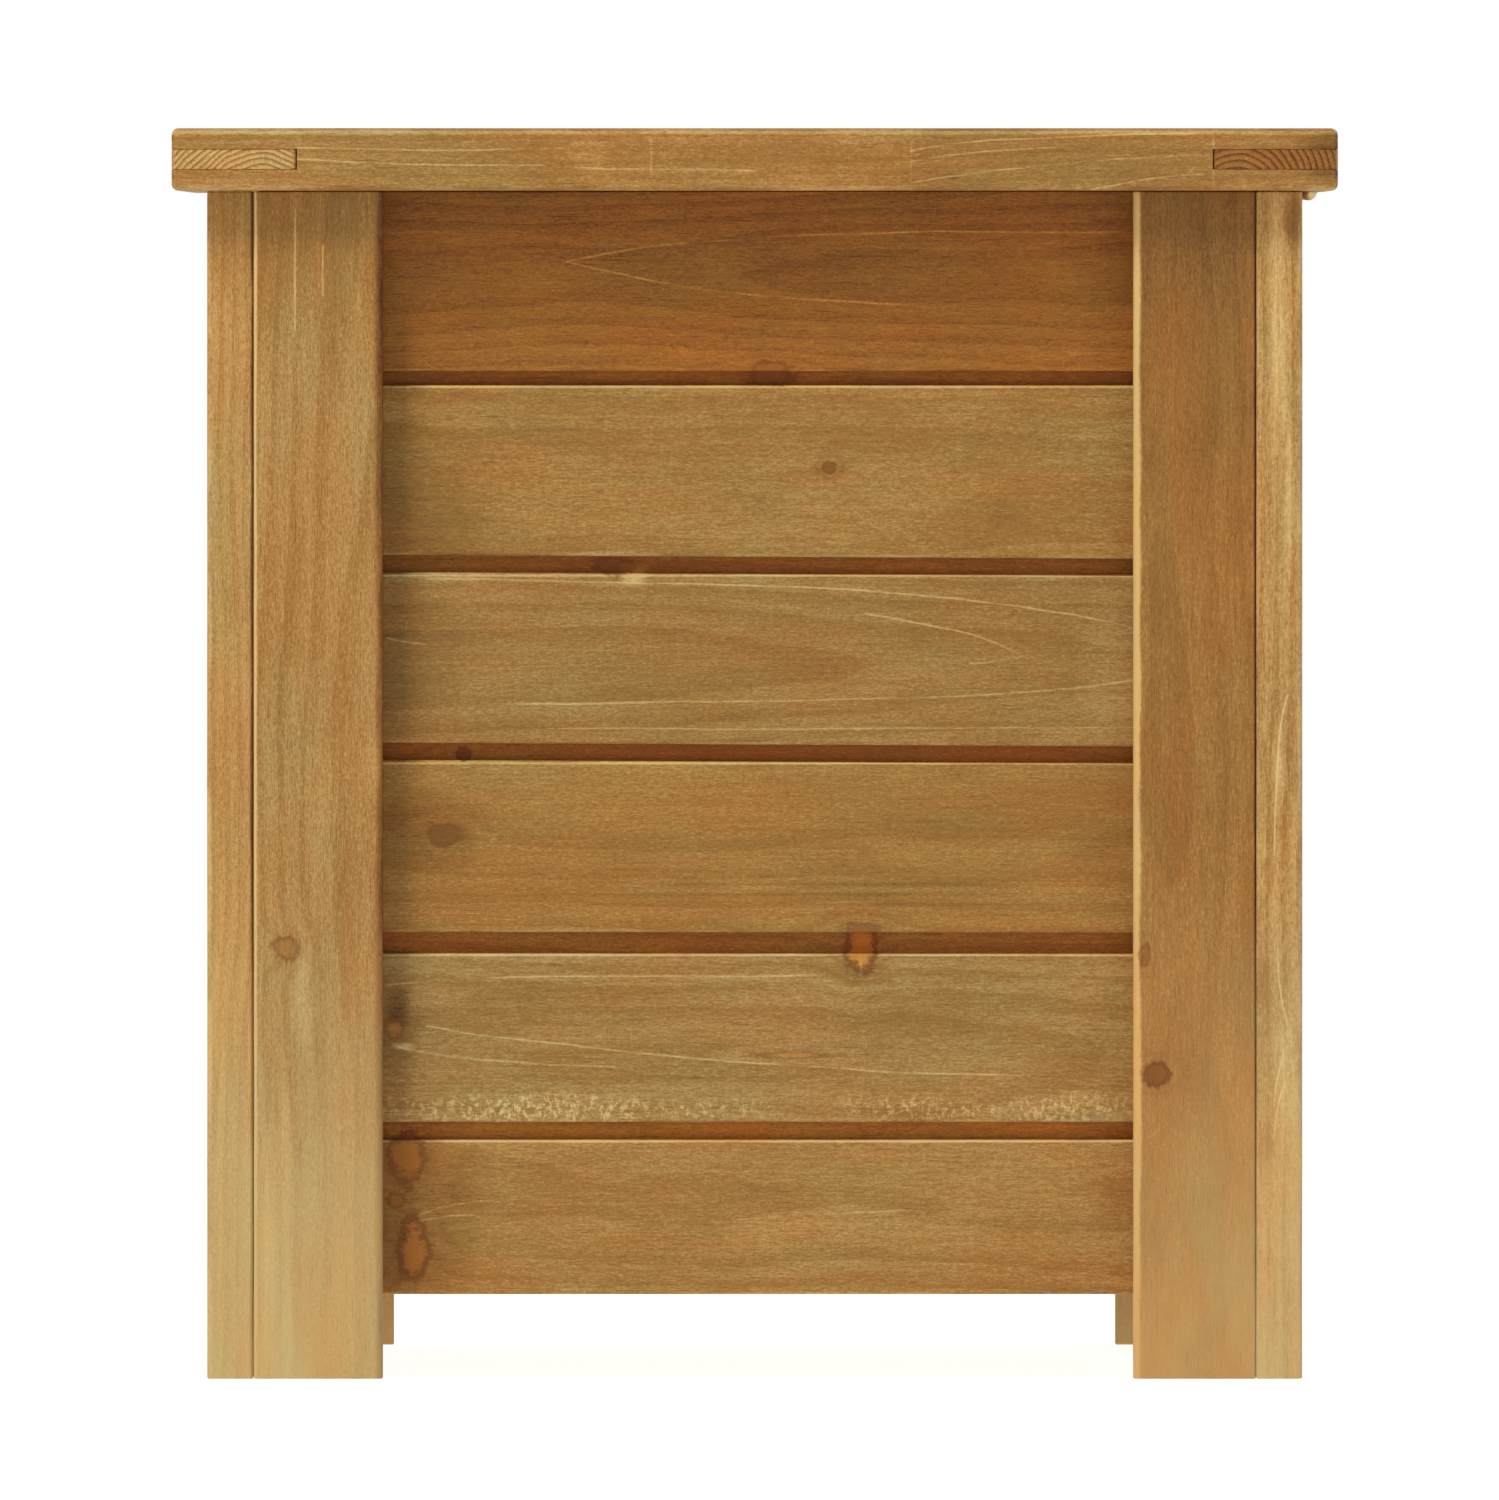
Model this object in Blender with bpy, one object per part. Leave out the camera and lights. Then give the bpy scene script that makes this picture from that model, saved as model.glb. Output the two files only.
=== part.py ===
"""Wooden toy box: matchboard walls on L-shaped corner posts, with a hinged lid on a gas strut.

Metres, +Z up. X runs along the box, the front faces -Y, and the origin is on the floor
in the middle of the box. The lid is closed.
"""

import math

import bmesh
import bpy
from mathutils import Matrix, Vector

# Driving sizes of the box
HEIGHT = 0.500
LID_LENGTH = 0.900
LID_DEPTH = 0.466
LID_THICKNESS = 0.025
LID_OVERHANG = 0.014
LID_SEAT = 0.0008  # air between the walls and the closed lid
LEG_CLEARANCE = 0.0335  # floor to the lowest wall board
JOINT_GAP = 0.0003  # between pieces that meet

# Timber sections
STILE_THICKNESS = 0.019
FACE_STILE_WIDTH = 0.070
END_STILE_WIDTH = 0.051
HINGE_RAIL_HEIGHT = 0.051
LID_RAIL_WIDTH = 0.050
LID_CLEAT_WIDTH = 0.040
LID_CLEAT_THICKNESS = 0.018
LID_CLEAT_LENGTH = 0.340
LID_CLEAT_X = 0.300
FLOOR_THICKNESS = 0.009
FLOOR_BATTEN = 0.020
STILE_ROUND = 0.002
LID_ROUND = 0.0025
BOARD_ROUND = 0.001
ROUND_SEGMENTS = 3

# Matchboard: tongue and groove, with a flat shadow gap between the faces
BOARDS_PER_WALL = 6
BOARD_PITCH = 0.0759
BOARD_THICKNESS = 0.015
SHADOW_GAP = 0.007
TONGUE_THICKNESS = 0.005
TONGUE_BITE = 0.006  # how far a tongue reaches into its groove
GROOVE_ROOM = 0.0005  # air past the tongue's end
LID_BOARDS = 5
LID_BOARD_THICKNESS = 0.016

# Bridle joints and panel groove of the lid frame
TENON_THICKNESS = 0.0078
MORTISE_HEIGHT = TENON_THICKNESS + 2 * JOINT_GAP
PANEL_TONGUE = 0.006

# Butt hinges
HINGE_X = 0.255
HINGE_LENGTH = 0.064
HINGE_KNUCKLES = 5
LEAF_THICKNESS = 0.0016
LEAF_REACH = 0.020  # pin axis to the leaf's far edge
PIN_RADIUS = 0.0015
PIN_PLAY = 0.0002
PIN_HEAD_RADIUS = 0.0031
PIN_HEAD_LENGTH = 0.0022
PIN_BEHIND_BACK = 0.0036  # pin axis to the back of the posts
KNUCKLE_GAP = 0.0003
SCREW_HOLE_RADIUS = 0.0021
SCREWS_PER_LEAF = 3
SCREW_HOLE_INSET = 0.008  # leaf's far edge to the row of holes
ARC_STEPS = 20

# Gas strut: both of its pivots are STRUT_ARM from the hinge pin, so the strut turns by
# exactly half of the lid's angle
STRUT_ARM = 0.200
STRUT_CLOSED_ANGLE = 70.0  # between the two arms with the lid closed, degrees
STRUT_X = 0.388
STRUT_LID_PIVOT_DROP = 0.009  # lid frame's underside to the upper pivot
CYLINDER_RADIUS = 0.0075
CYLINDER_START = 0.014
CYLINDER_LENGTH = 0.193
CYLINDER_BORE = 0.0033
CYLINDER_BORE_DEPTH = 0.183
ROD_RADIUS = 0.003
ROD_COLLAR_RADIUS = 0.005
ROD_COLLAR_END = 0.018
ROD_LENGTH = 0.198
EYE_RADIUS = 0.008
EYE_THICKNESS = 0.009
EYE_HOLE = 0.0042
STUD_RADIUS = 0.004
STUD_HEAD_RADIUS = 0.006
STUD_HEAD_LENGTH = 0.0015
STUD_SIDE_PLAY = 0.0008
BRACKET_THICKNESS = 0.002
WALL_BRACKET_SIZE = (0.022, 0.044)  # along Y and Z
LID_BRACKET_SIZE = (0.026, 0.040)  # along X and Y
LID_BRACKET_EAR_WIDTH = 0.018
LID_BRACKET_EAR_X = 0.3955
SIDES = 24

# Worked out from the driving sizes
POST_X = LID_LENGTH / 2 - LID_OVERHANG  # half length over the posts
POST_Y = LID_DEPTH / 2 - LID_OVERHANG  # half depth over the posts
LID_BOTTOM = HEIGHT - LID_THICKNESS
WALL_TOP = LID_BOTTOM - LID_SEAT
BOARD_X = POST_X - STILE_THICKNESS - JOINT_GAP  # outer face of the end boards
BOARD_Y = POST_Y - STILE_THICKNESS - JOINT_GAP  # outer face of the front and back boards
ROOM_X = BOARD_X - BOARD_THICKNESS  # inner face of the end boards
ROOM_Y = BOARD_Y - BOARD_THICKNESS
PIN_Y = POST_Y + PIN_BEHIND_BACK
PIN_Z = (WALL_TOP + LID_BOTTOM) / 2
LID_MIDDLE = LID_BOTTOM + LID_THICKNESS / 2
MORTISE = (LID_MIDDLE - MORTISE_HEIGHT / 2, LID_MIDDLE + MORTISE_HEIGHT / 2)
RAIL_INNER_X = LID_LENGTH / 2 - LID_RAIL_WIDTH
RAIL_INNER_Y = LID_DEPTH / 2 - LID_RAIL_WIDTH
LID_BOARD_BOTTOM = HEIGHT - LID_BOARD_THICKNESS
PAST = 0.010  # how far a cutter runs past the face that it opens

STILE_COLOUR = (0.50, 0.33, 0.14)
BOARD_COLOUR = (0.43, 0.26, 0.10)
LID_COLOUR = (0.47, 0.30, 0.12)
PLYWOOD_COLOUR = (0.62, 0.45, 0.25)
BRASS_COLOUR = (0.72, 0.53, 0.24)
STEEL_COLOUR = (0.62, 0.62, 0.63)
BLACK_COLOUR = (0.03, 0.03, 0.035)


def material(name, colour, roughness=0.55, metallic=0.0):
    """The named Principled material, made the first time it is asked for."""
    found = bpy.data.materials.get(name)
    if found:
        return found
    made = bpy.data.materials.new(name)
    made.use_nodes = True
    shader = made.node_tree.nodes["Principled BSDF"]
    shader.inputs["Base Color"].default_value = (*colour, 1.0)
    shader.inputs["Roughness"].default_value = roughness
    shader.inputs["Metallic"].default_value = metallic
    made.diffuse_color = (*colour, 1.0)
    return made


def pine(kind):
    colours = {"stile": STILE_COLOUR, "board": BOARD_COLOUR, "lid": LID_COLOUR}
    return material("pine_" + kind, colours[kind])


def empty(name, location, parent=None, rotation_x=0.0):
    """An empty on a joint's axis. Its location is in the box's frame."""
    made = bpy.data.objects.new(name, None)
    bpy.context.scene.collection.objects.link(made)
    made.parent = parent
    made.location = Vector(location) - (parent.location if parent else Vector())
    made.rotation_euler.x = rotation_x
    made.empty_display_size = 0.05
    return made


def place(name, bm, finish, location=(0, 0, 0), parent=None, rotation=(0, 0, 0)):
    """Turns bm into a named object. Its location is in the frame of its parent."""
    mesh = bpy.data.meshes.new(name)
    bmesh.ops.recalc_face_normals(bm, faces=bm.faces)
    bm.to_mesh(mesh)
    bm.free()
    mesh.shade_smooth()
    mesh.set_sharp_from_angle(angle=math.radians(35))
    mesh.materials.append(finish)
    made = bpy.data.objects.new(name, mesh)
    bpy.context.scene.collection.objects.link(made)
    made.parent = parent
    made.location = location
    made.rotation_euler = rotation
    return made


def add_box(bm, low, high):
    low, high = Vector(low), Vector(high)
    size = Matrix.Diagonal((*(high - low), 1.0))
    bmesh.ops.create_cube(bm, size=1.0, matrix=Matrix.Translation((low + high) / 2) @ size)


def add_turned(bm, profile):
    """Spins (radius, z) points round Z. The profile starts and ends on the axis."""
    points = [bm.verts.new((radius, 0, z)) for radius, z in profile]
    edges = [bm.edges.new(pair) for pair in zip(points, points[1:])]
    bmesh.ops.spin(
        bm, geom=points + edges, axis=(0, 0, 1), cent=(0, 0, 0), angle=2 * math.pi,
        steps=SIDES, use_merge=True,
    )
    bmesh.ops.remove_doubles(bm, verts=bm.verts, dist=1e-6)


def add_cylinder(bm, radius, start, end):
    """A closed cylinder along X, between two points with the same Y and Z."""
    start, end = Vector(start), Vector(end)
    turned = Matrix.Translation((start + end) / 2) @ Matrix.Rotation(math.pi / 2, 4, "Y")
    bmesh.ops.create_cone(
        bm, cap_ends=True, segments=SIDES, radius1=radius, radius2=radius,
        depth=(end - start).length, matrix=turned,
    )


def add_extrusion(bm, outline, length):
    """Extrudes a closed (y, z) outline along X, centred on X = 0."""
    points = [bm.verts.new((-length / 2, y, z)) for y, z in outline]
    face = bm.faces.new(points)
    grown = bmesh.ops.extrude_face_region(bm, geom=[face])["geom"]
    moved = [item for item in grown if isinstance(item, bmesh.types.BMVert)]
    bmesh.ops.translate(bm, verts=moved, vec=(length, 0, 0))


def round_edges(bm, radius, wanted):
    """Rounds the edges whose middle point the test picks."""
    picked = [e for e in bm.edges if wanted((e.verts[0].co + e.verts[1].co) / 2)]
    bmesh.ops.bevel(
        bm, geom=picked, offset=radius, offset_type="OFFSET", segments=ROUND_SEGMENTS,
        profile=0.5, affect="EDGES", clamp_overlap=True,
    )


def block(name, low, high, finish, radius=0.0, parent=None, sharp=None):
    """A rectangular piece. sharp(point, half) says which edge middles stay square."""
    low, high = Vector(low), Vector(high)
    half = (high - low) / 2
    bm = bmesh.new()
    add_box(bm, -half, half)
    if radius:
        round_edges(bm, radius, lambda p: not (sharp and sharp(p, half)))
    middle = (low + high) / 2 - (parent.location if parent else Vector())
    return place(name, bm, finish, middle, parent)


def cut(target, name, add_shapes, operation="DIFFERENCE", parent=None):
    """Adds a Boolean to target. add_shapes fills the hidden cutter's mesh."""
    bm = bmesh.new()
    add_shapes(bm)
    cutter = place(name, bm, pine("board"), parent=parent)
    cutter.hide_render = True
    cutter.display_type = "WIRE"
    boolean = target.modifiers.new(name, "BOOLEAN")
    boolean.operation = operation
    boolean.solver = "EXACT"
    boolean.object = cutter


def cut_boxes(target, name, boxes):
    def add_shapes(bm):
        for low, high in boxes:
            add_box(bm, low, high)

    cut(target, name, add_shapes)


# ---- corner posts and back rail -------------------------------------------------------


def face_stiles():
    """The wide boards of the corner posts, on the front and the back. They overlap the end stiles."""
    for side, x_sign in (("left", -1), ("right", 1)):
        for face, y_sign in (("front", -1), ("back", 1)):
            xs = sorted((x_sign * (POST_X - FACE_STILE_WIDTH), x_sign * POST_X))
            ys = sorted((y_sign * (POST_Y - STILE_THICKNESS), y_sign * POST_Y))

            def sharp(p, half, x_sign=x_sign, y_sign=y_sign):
                meets_end_stile = p.y * y_sign < 0
                return meets_end_stile or p.z > half.z * 0.9

            block(
                f"{face}_stile_{side}", (xs[0], ys[0], 0), (xs[1], ys[1], WALL_TOP),
                pine("stile"), STILE_ROUND, sharp=sharp,
            )


def end_stiles():
    """The narrow boards of the corner posts, on the ends, between the face stiles."""
    outer = POST_Y - STILE_THICKNESS - JOINT_GAP
    for side, x_sign in (("left", -1), ("right", 1)):
        for face, y_sign in (("front", -1), ("back", 1)):
            xs = sorted((x_sign * (POST_X - STILE_THICKNESS), x_sign * POST_X))
            ys = sorted((y_sign * (outer - END_STILE_WIDTH), y_sign * outer))

            def sharp(p, half, x_sign=x_sign, y_sign=y_sign):
                meets_face_stile = p.y * y_sign > half.y * 0.9
                return meets_face_stile or p.x * x_sign < 0 or p.z > half.z * 0.9

            block(
                f"{side}_end_stile_{face}", (xs[0], ys[0], 0), (xs[1], ys[1], WALL_TOP),
                pine("stile"), STILE_ROUND, sharp=sharp,
            )


def hinge_rail():
    """The rail between the back posts, flush with them, that carries the hinges."""
    length = POST_X - FACE_STILE_WIDTH - JOINT_GAP
    low = (-length, POST_Y - STILE_THICKNESS, WALL_TOP - HINGE_RAIL_HEIGHT)

    def sharp(p, half):
        return p.y < 0 or p.z > half.z * 0.9 or abs(p.x) > half.x * 0.9

    rail = block(
        "hinge_rail", low, (length, POST_Y, WALL_TOP), pine("stile"), STILE_ROUND, sharp=sharp
    )
    half = HINGE_LENGTH / 2 + JOINT_GAP
    front = PIN_Y - LEAF_REACH - JOINT_GAP
    bottom = WALL_TOP - LEAF_THICKNESS - JOINT_GAP
    cut_boxes(
        rail, "hinge_rail_gains",
        [((x - half, front, bottom), (x + half, POST_Y + PAST, WALL_TOP + PAST))
         for x in (-HINGE_X, HINGE_X)],
    )


# ---- matchboard walls -----------------------------------------------------------------


def matchboard_outline(face, thickness, low_edge, high_edge, shoulder=0.0):
    """The (depth, height) section of a board whose face runs from height 0 to face.

    Depth 0 is the face. An edge is "plain", "match" (a groove below, a tongue above) or
    "rail", a bare tongue, from depth shoulder to the back, that enters a lid rail's groove.
    """
    near = (thickness - TONGUE_THICKNESS) / 2
    far = near + TONGUE_THICKNESS
    outline = [(0, 0), (0, face)]
    if high_edge == "match":
        tip = face + SHADOW_GAP + TONGUE_BITE
        outline += [(near, face), (near, tip), (far, tip), (far, face), (thickness, face)]
    elif high_edge == "rail":
        tip = face + PANEL_TONGUE
        outline += [(shoulder, face), (shoulder, tip), (thickness, tip)]
    else:
        outline += [(thickness, face)]
    if low_edge == "match":
        back = JOINT_GAP - SHADOW_GAP
        top = TONGUE_BITE + GROOVE_ROOM
        outline += [
            (thickness, back), (far + JOINT_GAP, back), (far + JOINT_GAP, top),
            (near - JOINT_GAP, top), (near - JOINT_GAP, 0),
        ]
    elif low_edge == "rail":
        outline += [(thickness, -PANEL_TONGUE), (shoulder, -PANEL_TONGUE), (shoulder, 0)]
    else:
        outline += [(thickness, 0)]
    return outline


def matchboard(outline, length, face, plain_high=False, plain_low=False):
    """A board along X with its face on Y = 0 and both long arrises of the face rounded."""
    bm = bmesh.new()
    add_extrusion(bm, outline, length)
    bmesh.ops.recalc_face_normals(bm, faces=bm.faces)

    def is_arris(p):
        at_high = abs(p.z - face) < 1e-5 and not plain_high
        at_low = abs(p.z) < 1e-5 and not plain_low
        return abs(p.y) < 1e-6 and abs(p.x) < 1e-6 and (at_high or at_low)

    round_edges(bm, BOARD_ROUND, is_arris)
    return bm


def walls():
    """Six boards for each wall, numbered from the top. The lowest one is ripped to fit."""
    sides = {
        "front": (0, (0, -BOARD_Y), 2 * BOARD_X),
        "right_end": (90, (BOARD_X, 0), 2 * (ROOM_Y - JOINT_GAP)),
        "back": (180, (0, BOARD_Y), 2 * BOARD_X),
        "left_end": (270, (-BOARD_X, 0), 2 * (ROOM_Y - JOINT_GAP)),
    }
    for wall, (turn, (x, y), length) in sides.items():
        for number in range(1, BOARDS_PER_WALL + 1):
            first, last = number == 1, number == BOARDS_PER_WALL
            top = WALL_TOP - (number - 1) * BOARD_PITCH
            bottom = LEG_CLEARANCE if last else top - BOARD_PITCH + SHADOW_GAP
            outline = matchboard_outline(
                top - bottom, BOARD_THICKNESS,
                "plain" if last else "match", "plain" if first else "match",
            )
            bm = matchboard(outline, length, top - bottom, plain_high=first)
            place(
                f"{wall}_board_{number}", bm, pine("board"), (x, y, bottom),
                rotation=(0, 0, math.radians(turn)),
            )


def floor():
    """A plywood floor on a frame of battens, with a bearer under its middle."""
    plywood = material("plywood", PLYWOOD_COLOUR)
    low = LEG_CLEARANCE + JOINT_GAP
    high = low + FLOOR_BATTEN
    x, y = ROOM_X - JOINT_GAP, ROOM_Y - JOINT_GAP
    inner_y = y - FLOOR_BATTEN - JOINT_GAP
    battens = {
        "floor_batten_front": ((-x, -y, low), (x, -y + FLOOR_BATTEN, high)),
        "floor_batten_back": ((-x, y - FLOOR_BATTEN, low), (x, y, high)),
        "floor_batten_left": ((-x, -inner_y, low), (-x + FLOOR_BATTEN, inner_y, high)),
        "floor_batten_right": ((x - FLOOR_BATTEN, -inner_y, low), (x, inner_y, high)),
        "floor_bearer": ((-FLOOR_BATTEN / 2, -inner_y, low), (FLOOR_BATTEN / 2, inner_y, high)),
    }
    for name, (near, far) in battens.items():
        block(name, near, far, pine("board"))
    top = high + JOINT_GAP + FLOOR_THICKNESS
    block("floor_panel", (-x, -y, high + JOINT_GAP), (x, y, top), plywood)


# ---- lid ------------------------------------------------------------------------------


def lid_end_rails(pivot):
    """The short rails. They run the lid's whole depth, with an open mortise at each end."""
    for side, sign in (("left", -1), ("right", 1)):
        xs = sorted((sign * RAIL_INNER_X, sign * LID_LENGTH / 2))

        def sharp(p, half, sign=sign):
            return p.x * sign < -half.x * 0.9

        rail = block(
            f"lid_rail_{side}", (xs[0], -LID_DEPTH / 2, LID_BOTTOM),
            (xs[1], LID_DEPTH / 2, HEIGHT), pine("lid"), LID_ROUND, pivot, sharp,
        )
        inner = RAIL_INNER_Y - JOINT_GAP
        for face, y_sign in (("front", -1), ("back", 1)):
            ys = sorted((y_sign * inner, y_sign * (LID_DEPTH / 2 + PAST)))
            cut_boxes(
                rail, f"lid_rail_{side}_mortise_{face}",
                [((xs[0] - PAST, ys[0], MORTISE[0]), (xs[1] + PAST, ys[1], MORTISE[1]))],
            )
        reach = sign * (RAIL_INNER_X + PANEL_TONGUE + GROOVE_ROOM)
        groove = sorted((sign * (RAIL_INNER_X - PAST), reach))
        cut_boxes(
            rail, f"lid_rail_{side}_groove",
            [((groove[0], -inner - PAST, MORTISE[0]), (groove[1], inner + PAST, MORTISE[1]))],
        )


def lid_long_rails(pivot):
    """The long rails, with a tenon as wide as the rail at each end. Their end grain shows."""
    shoulder = RAIL_INNER_X - JOINT_GAP
    tenon = (LID_MIDDLE - TENON_THICKNESS / 2, LID_MIDDLE + TENON_THICKNESS / 2)
    for face, sign in (("front", -1), ("back", 1)):
        ys = sorted((sign * RAIL_INNER_Y, sign * LID_DEPTH / 2))

        def sharp(p, half, sign=sign):
            return p.y * sign < -half.y * 0.9

        rail = block(
            f"lid_rail_{face}", (-LID_LENGTH / 2, ys[0], LID_BOTTOM),
            (LID_LENGTH / 2, ys[1], HEIGHT), pine("lid"), LID_ROUND, pivot, sharp,
        )
        cheeks = []
        for x_sign in (-1, 1):
            xs = sorted((x_sign * shoulder, x_sign * (LID_LENGTH / 2 + PAST)))
            for z_low, z_high in ((LID_BOTTOM - PAST, tenon[0]), (tenon[1], HEIGHT + PAST)):
                cheeks.append(((xs[0], ys[0] - PAST, z_low), (xs[1], ys[1] + PAST, z_high)))
        cut_boxes(rail, f"lid_rail_{face}_cheeks", cheeks)
        groove = sorted((sign * (RAIL_INNER_Y - PAST),
                         sign * (RAIL_INNER_Y + PANEL_TONGUE + GROOVE_ROOM)))
        cut_boxes(
            rail, f"lid_rail_{face}_groove",
            [((-shoulder, groove[0], MORTISE[0]), (shoulder, groove[1], MORTISE[1]))],
        )
        if face == "back":
            cut_hinge_gains(rail)


def cut_hinge_gains(rail):
    """Pockets in the back rail's underside for the lid leaves and for the knuckles."""
    leaf_half = HINGE_LENGTH / 2 + JOINT_GAP
    barrel_half = HINGE_LENGTH / 2 + PIN_HEAD_LENGTH + 2 * JOINT_GAP
    barrel = PIN_RADIUS + PIN_PLAY + LEAF_THICKNESS + 2 * JOINT_GAP
    leaf_top = LID_BOTTOM + LEAF_THICKNESS + JOINT_GAP
    leaf_front = PIN_Y - LEAF_REACH - JOINT_GAP
    for side, x in (("left", -HINGE_X), ("right", HINGE_X)):
        cut_boxes(
            rail, f"lid_leaf_gain_{side}",
            [((x - leaf_half, leaf_front, LID_BOTTOM - PAST), (x + leaf_half, PIN_Y, leaf_top))],
        )
        cut_boxes(
            rail, f"lid_knuckle_gain_{side}",
            [((x - barrel_half, PIN_Y - barrel, LID_BOTTOM - PAST),
              (x + barrel_half, PIN_Y + barrel, PIN_Z + barrel))],
        )


def lid_boards(pivot):
    """Matchboards along the lid, flush with the frame's top and tongued into its grooves."""
    inner = RAIL_INNER_Y - JOINT_GAP
    face = (2 * inner - (LID_BOARDS - 1) * SHADOW_GAP) / LID_BOARDS
    shoulder = HEIGHT - (MORTISE[1] - JOINT_GAP)
    body = RAIL_INNER_X - JOINT_GAP
    length = 2 * (RAIL_INNER_X + PANEL_TONGUE)
    for number in range(1, LID_BOARDS + 1):
        first, last = number == 1, number == LID_BOARDS
        outline = matchboard_outline(
            face, LID_BOARD_THICKNESS, "rail" if first else "match",
            "rail" if last else "match", shoulder,
        )
        bm = matchboard(outline, length, face)
        y = -inner + (number - 1) * (face + SHADOW_GAP)
        board = place(
            f"lid_board_{number}", bm, pine("lid"), Vector((0, y, HEIGHT)) - pivot.location,
            pivot, (math.radians(-90), 0, 0),
        )
        if first or last:
            # The edge tongue stops at the long rail's tenon, so its two ends are cut off.
            sign = -1 if first else 1
            ys = sorted((sign * (inner - JOINT_GAP / 2), sign * (inner + 2 * PAST)))
            corners = []
            for x_sign in (-1, 1):
                xs = sorted((x_sign * (body - JOINT_GAP), x_sign * (length / 2 + PAST)))
                corners.append(((xs[0], ys[0], LID_BOTTOM), (xs[1], ys[1], HEIGHT + PAST)))
            cut_boxes(board, f"lid_board_{number}_corners", corners)
        ends = []
        for x_sign in (-1, 1):
            xs = sorted((x_sign * body, x_sign * (length / 2 + PAST)))
            ends.append(((xs[0], y - PAST, HEIGHT - shoulder),
                         (xs[1], y + face + 2 * PAST, HEIGHT + PAST)))
        cut_boxes(board, f"lid_board_{number}_shoulders", ends)


def lid_cleats(pivot):
    """Two cleats across the underside hold the lid boards flat."""
    top = LID_BOARD_BOTTOM - JOINT_GAP
    for side, x in (("left", -LID_CLEAT_X), ("right", LID_CLEAT_X)):
        block(
            f"lid_cleat_{side}",
            (x - LID_CLEAT_WIDTH / 2, -LID_CLEAT_LENGTH / 2, top - LID_CLEAT_THICKNESS),
            (x + LID_CLEAT_WIDTH / 2, LID_CLEAT_LENGTH / 2, top),
            pine("lid"), STILE_ROUND, pivot, lambda p, half: p.z > half.z * 0.9,
        )


# ---- hinges ---------------------------------------------------------------------------


def arc(radius, start, end):
    """Points on a circle round the origin, from angle start to end, in degrees."""
    turns = [math.radians(start + (end - start) * i / ARC_STEPS) for i in range(ARC_STEPS + 1)]
    return [(radius * math.cos(a), radius * math.sin(a)) for a in turns]


def leaf_outline():
    """The fixed leaf's (y, z) section about the pin axis: a plate that curls round the pin."""
    inner = PIN_RADIUS + PIN_PLAY
    outer = inner + LEAF_THICKNESS
    top = WALL_TOP - PIN_Z
    bottom = top - LEAF_THICKNESS
    joins_outer = 180 + math.degrees(math.asin(-bottom / outer))
    joins_inner = 180 + math.degrees(math.asin(-top / inner))
    return [
        (-LEAF_REACH, bottom),
        *arc(outer, joins_outer, 540),
        *arc(inner, 540, joins_inner),
        (-LEAF_REACH, top),
    ]


def hinge_leaf(name, x, keeps, flip, parent):
    """One leaf of a hinge. keeps is 0 or 1: which of the alternate knuckles it has."""
    outline = [(y, -z) for y, z in leaf_outline()] if flip else leaf_outline()
    bm = bmesh.new()
    add_extrusion(bm, outline, HINGE_LENGTH)
    where = Vector((x, PIN_Y, PIN_Z))
    origin = parent.location if parent else Vector()
    leaf = place(name, bm, material("brass", BRASS_COLOUR, 0.3, 1.0), where - origin, parent)
    reach = PIN_RADIUS + PIN_PLAY + LEAF_THICKNESS + JOINT_GAP
    knuckle = HINGE_LENGTH / HINGE_KNUCKLES
    notches = []
    for number in range(HINGE_KNUCKLES):
        if number % 2 != keeps:
            start = x - HINGE_LENGTH / 2 + number * knuckle
            notches.append(((start - KNUCKLE_GAP / 2, PIN_Y - reach, PIN_Z - reach),
                            (start + knuckle + KNUCKLE_GAP / 2, PIN_Y + reach, PIN_Z + reach)))
    cut_boxes(leaf, name + "_notches", notches)

    def add_holes(bm):
        for number in range(SCREWS_PER_LEAF):
            along = (number - (SCREWS_PER_LEAF - 1) / 2) * HINGE_LENGTH / SCREWS_PER_LEAF
            hole = Vector((x + along, PIN_Y - LEAF_REACH + SCREW_HOLE_INSET, PIN_Z))
            bmesh.ops.create_cone(
                bm, cap_ends=True, segments=SIDES // 2, radius1=SCREW_HOLE_RADIUS,
                radius2=SCREW_HOLE_RADIUS, depth=PAST, matrix=Matrix.Translation(hole),
            )

    cut(leaf, name + "_holes", add_holes)


def hinge_pin(name, x):
    half = HINGE_LENGTH / 2
    head = half + KNUCKLE_GAP
    profile = [
        (0, -head - PIN_HEAD_LENGTH), (PIN_HEAD_RADIUS * 0.7, -head - PIN_HEAD_LENGTH),
        (PIN_HEAD_RADIUS, -head - PIN_HEAD_LENGTH * 0.6), (PIN_HEAD_RADIUS, -head),
        (PIN_RADIUS, -head), (PIN_RADIUS, head), (PIN_HEAD_RADIUS, head),
        (PIN_HEAD_RADIUS, head + PIN_HEAD_LENGTH * 0.6),
        (PIN_HEAD_RADIUS * 0.7, head + PIN_HEAD_LENGTH), (0, head + PIN_HEAD_LENGTH),
    ]
    bm = bmesh.new()
    add_turned(bm, profile)
    place(
        name, bm, material("brass", BRASS_COLOUR, 0.3, 1.0), (x, PIN_Y, PIN_Z),
        rotation=(0, math.radians(90), 0),
    )


def hinges(pivot):
    for side, x in (("left", -HINGE_X), ("right", HINGE_X)):
        hinge_leaf(f"hinge_{side}_fixed_leaf", x, 0, False, None)
        hinge_leaf(f"hinge_{side}_lid_leaf", x, 1, True, pivot)
        hinge_pin(f"hinge_{side}_pin", x)


# ---- gas strut ------------------------------------------------------------------------


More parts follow.
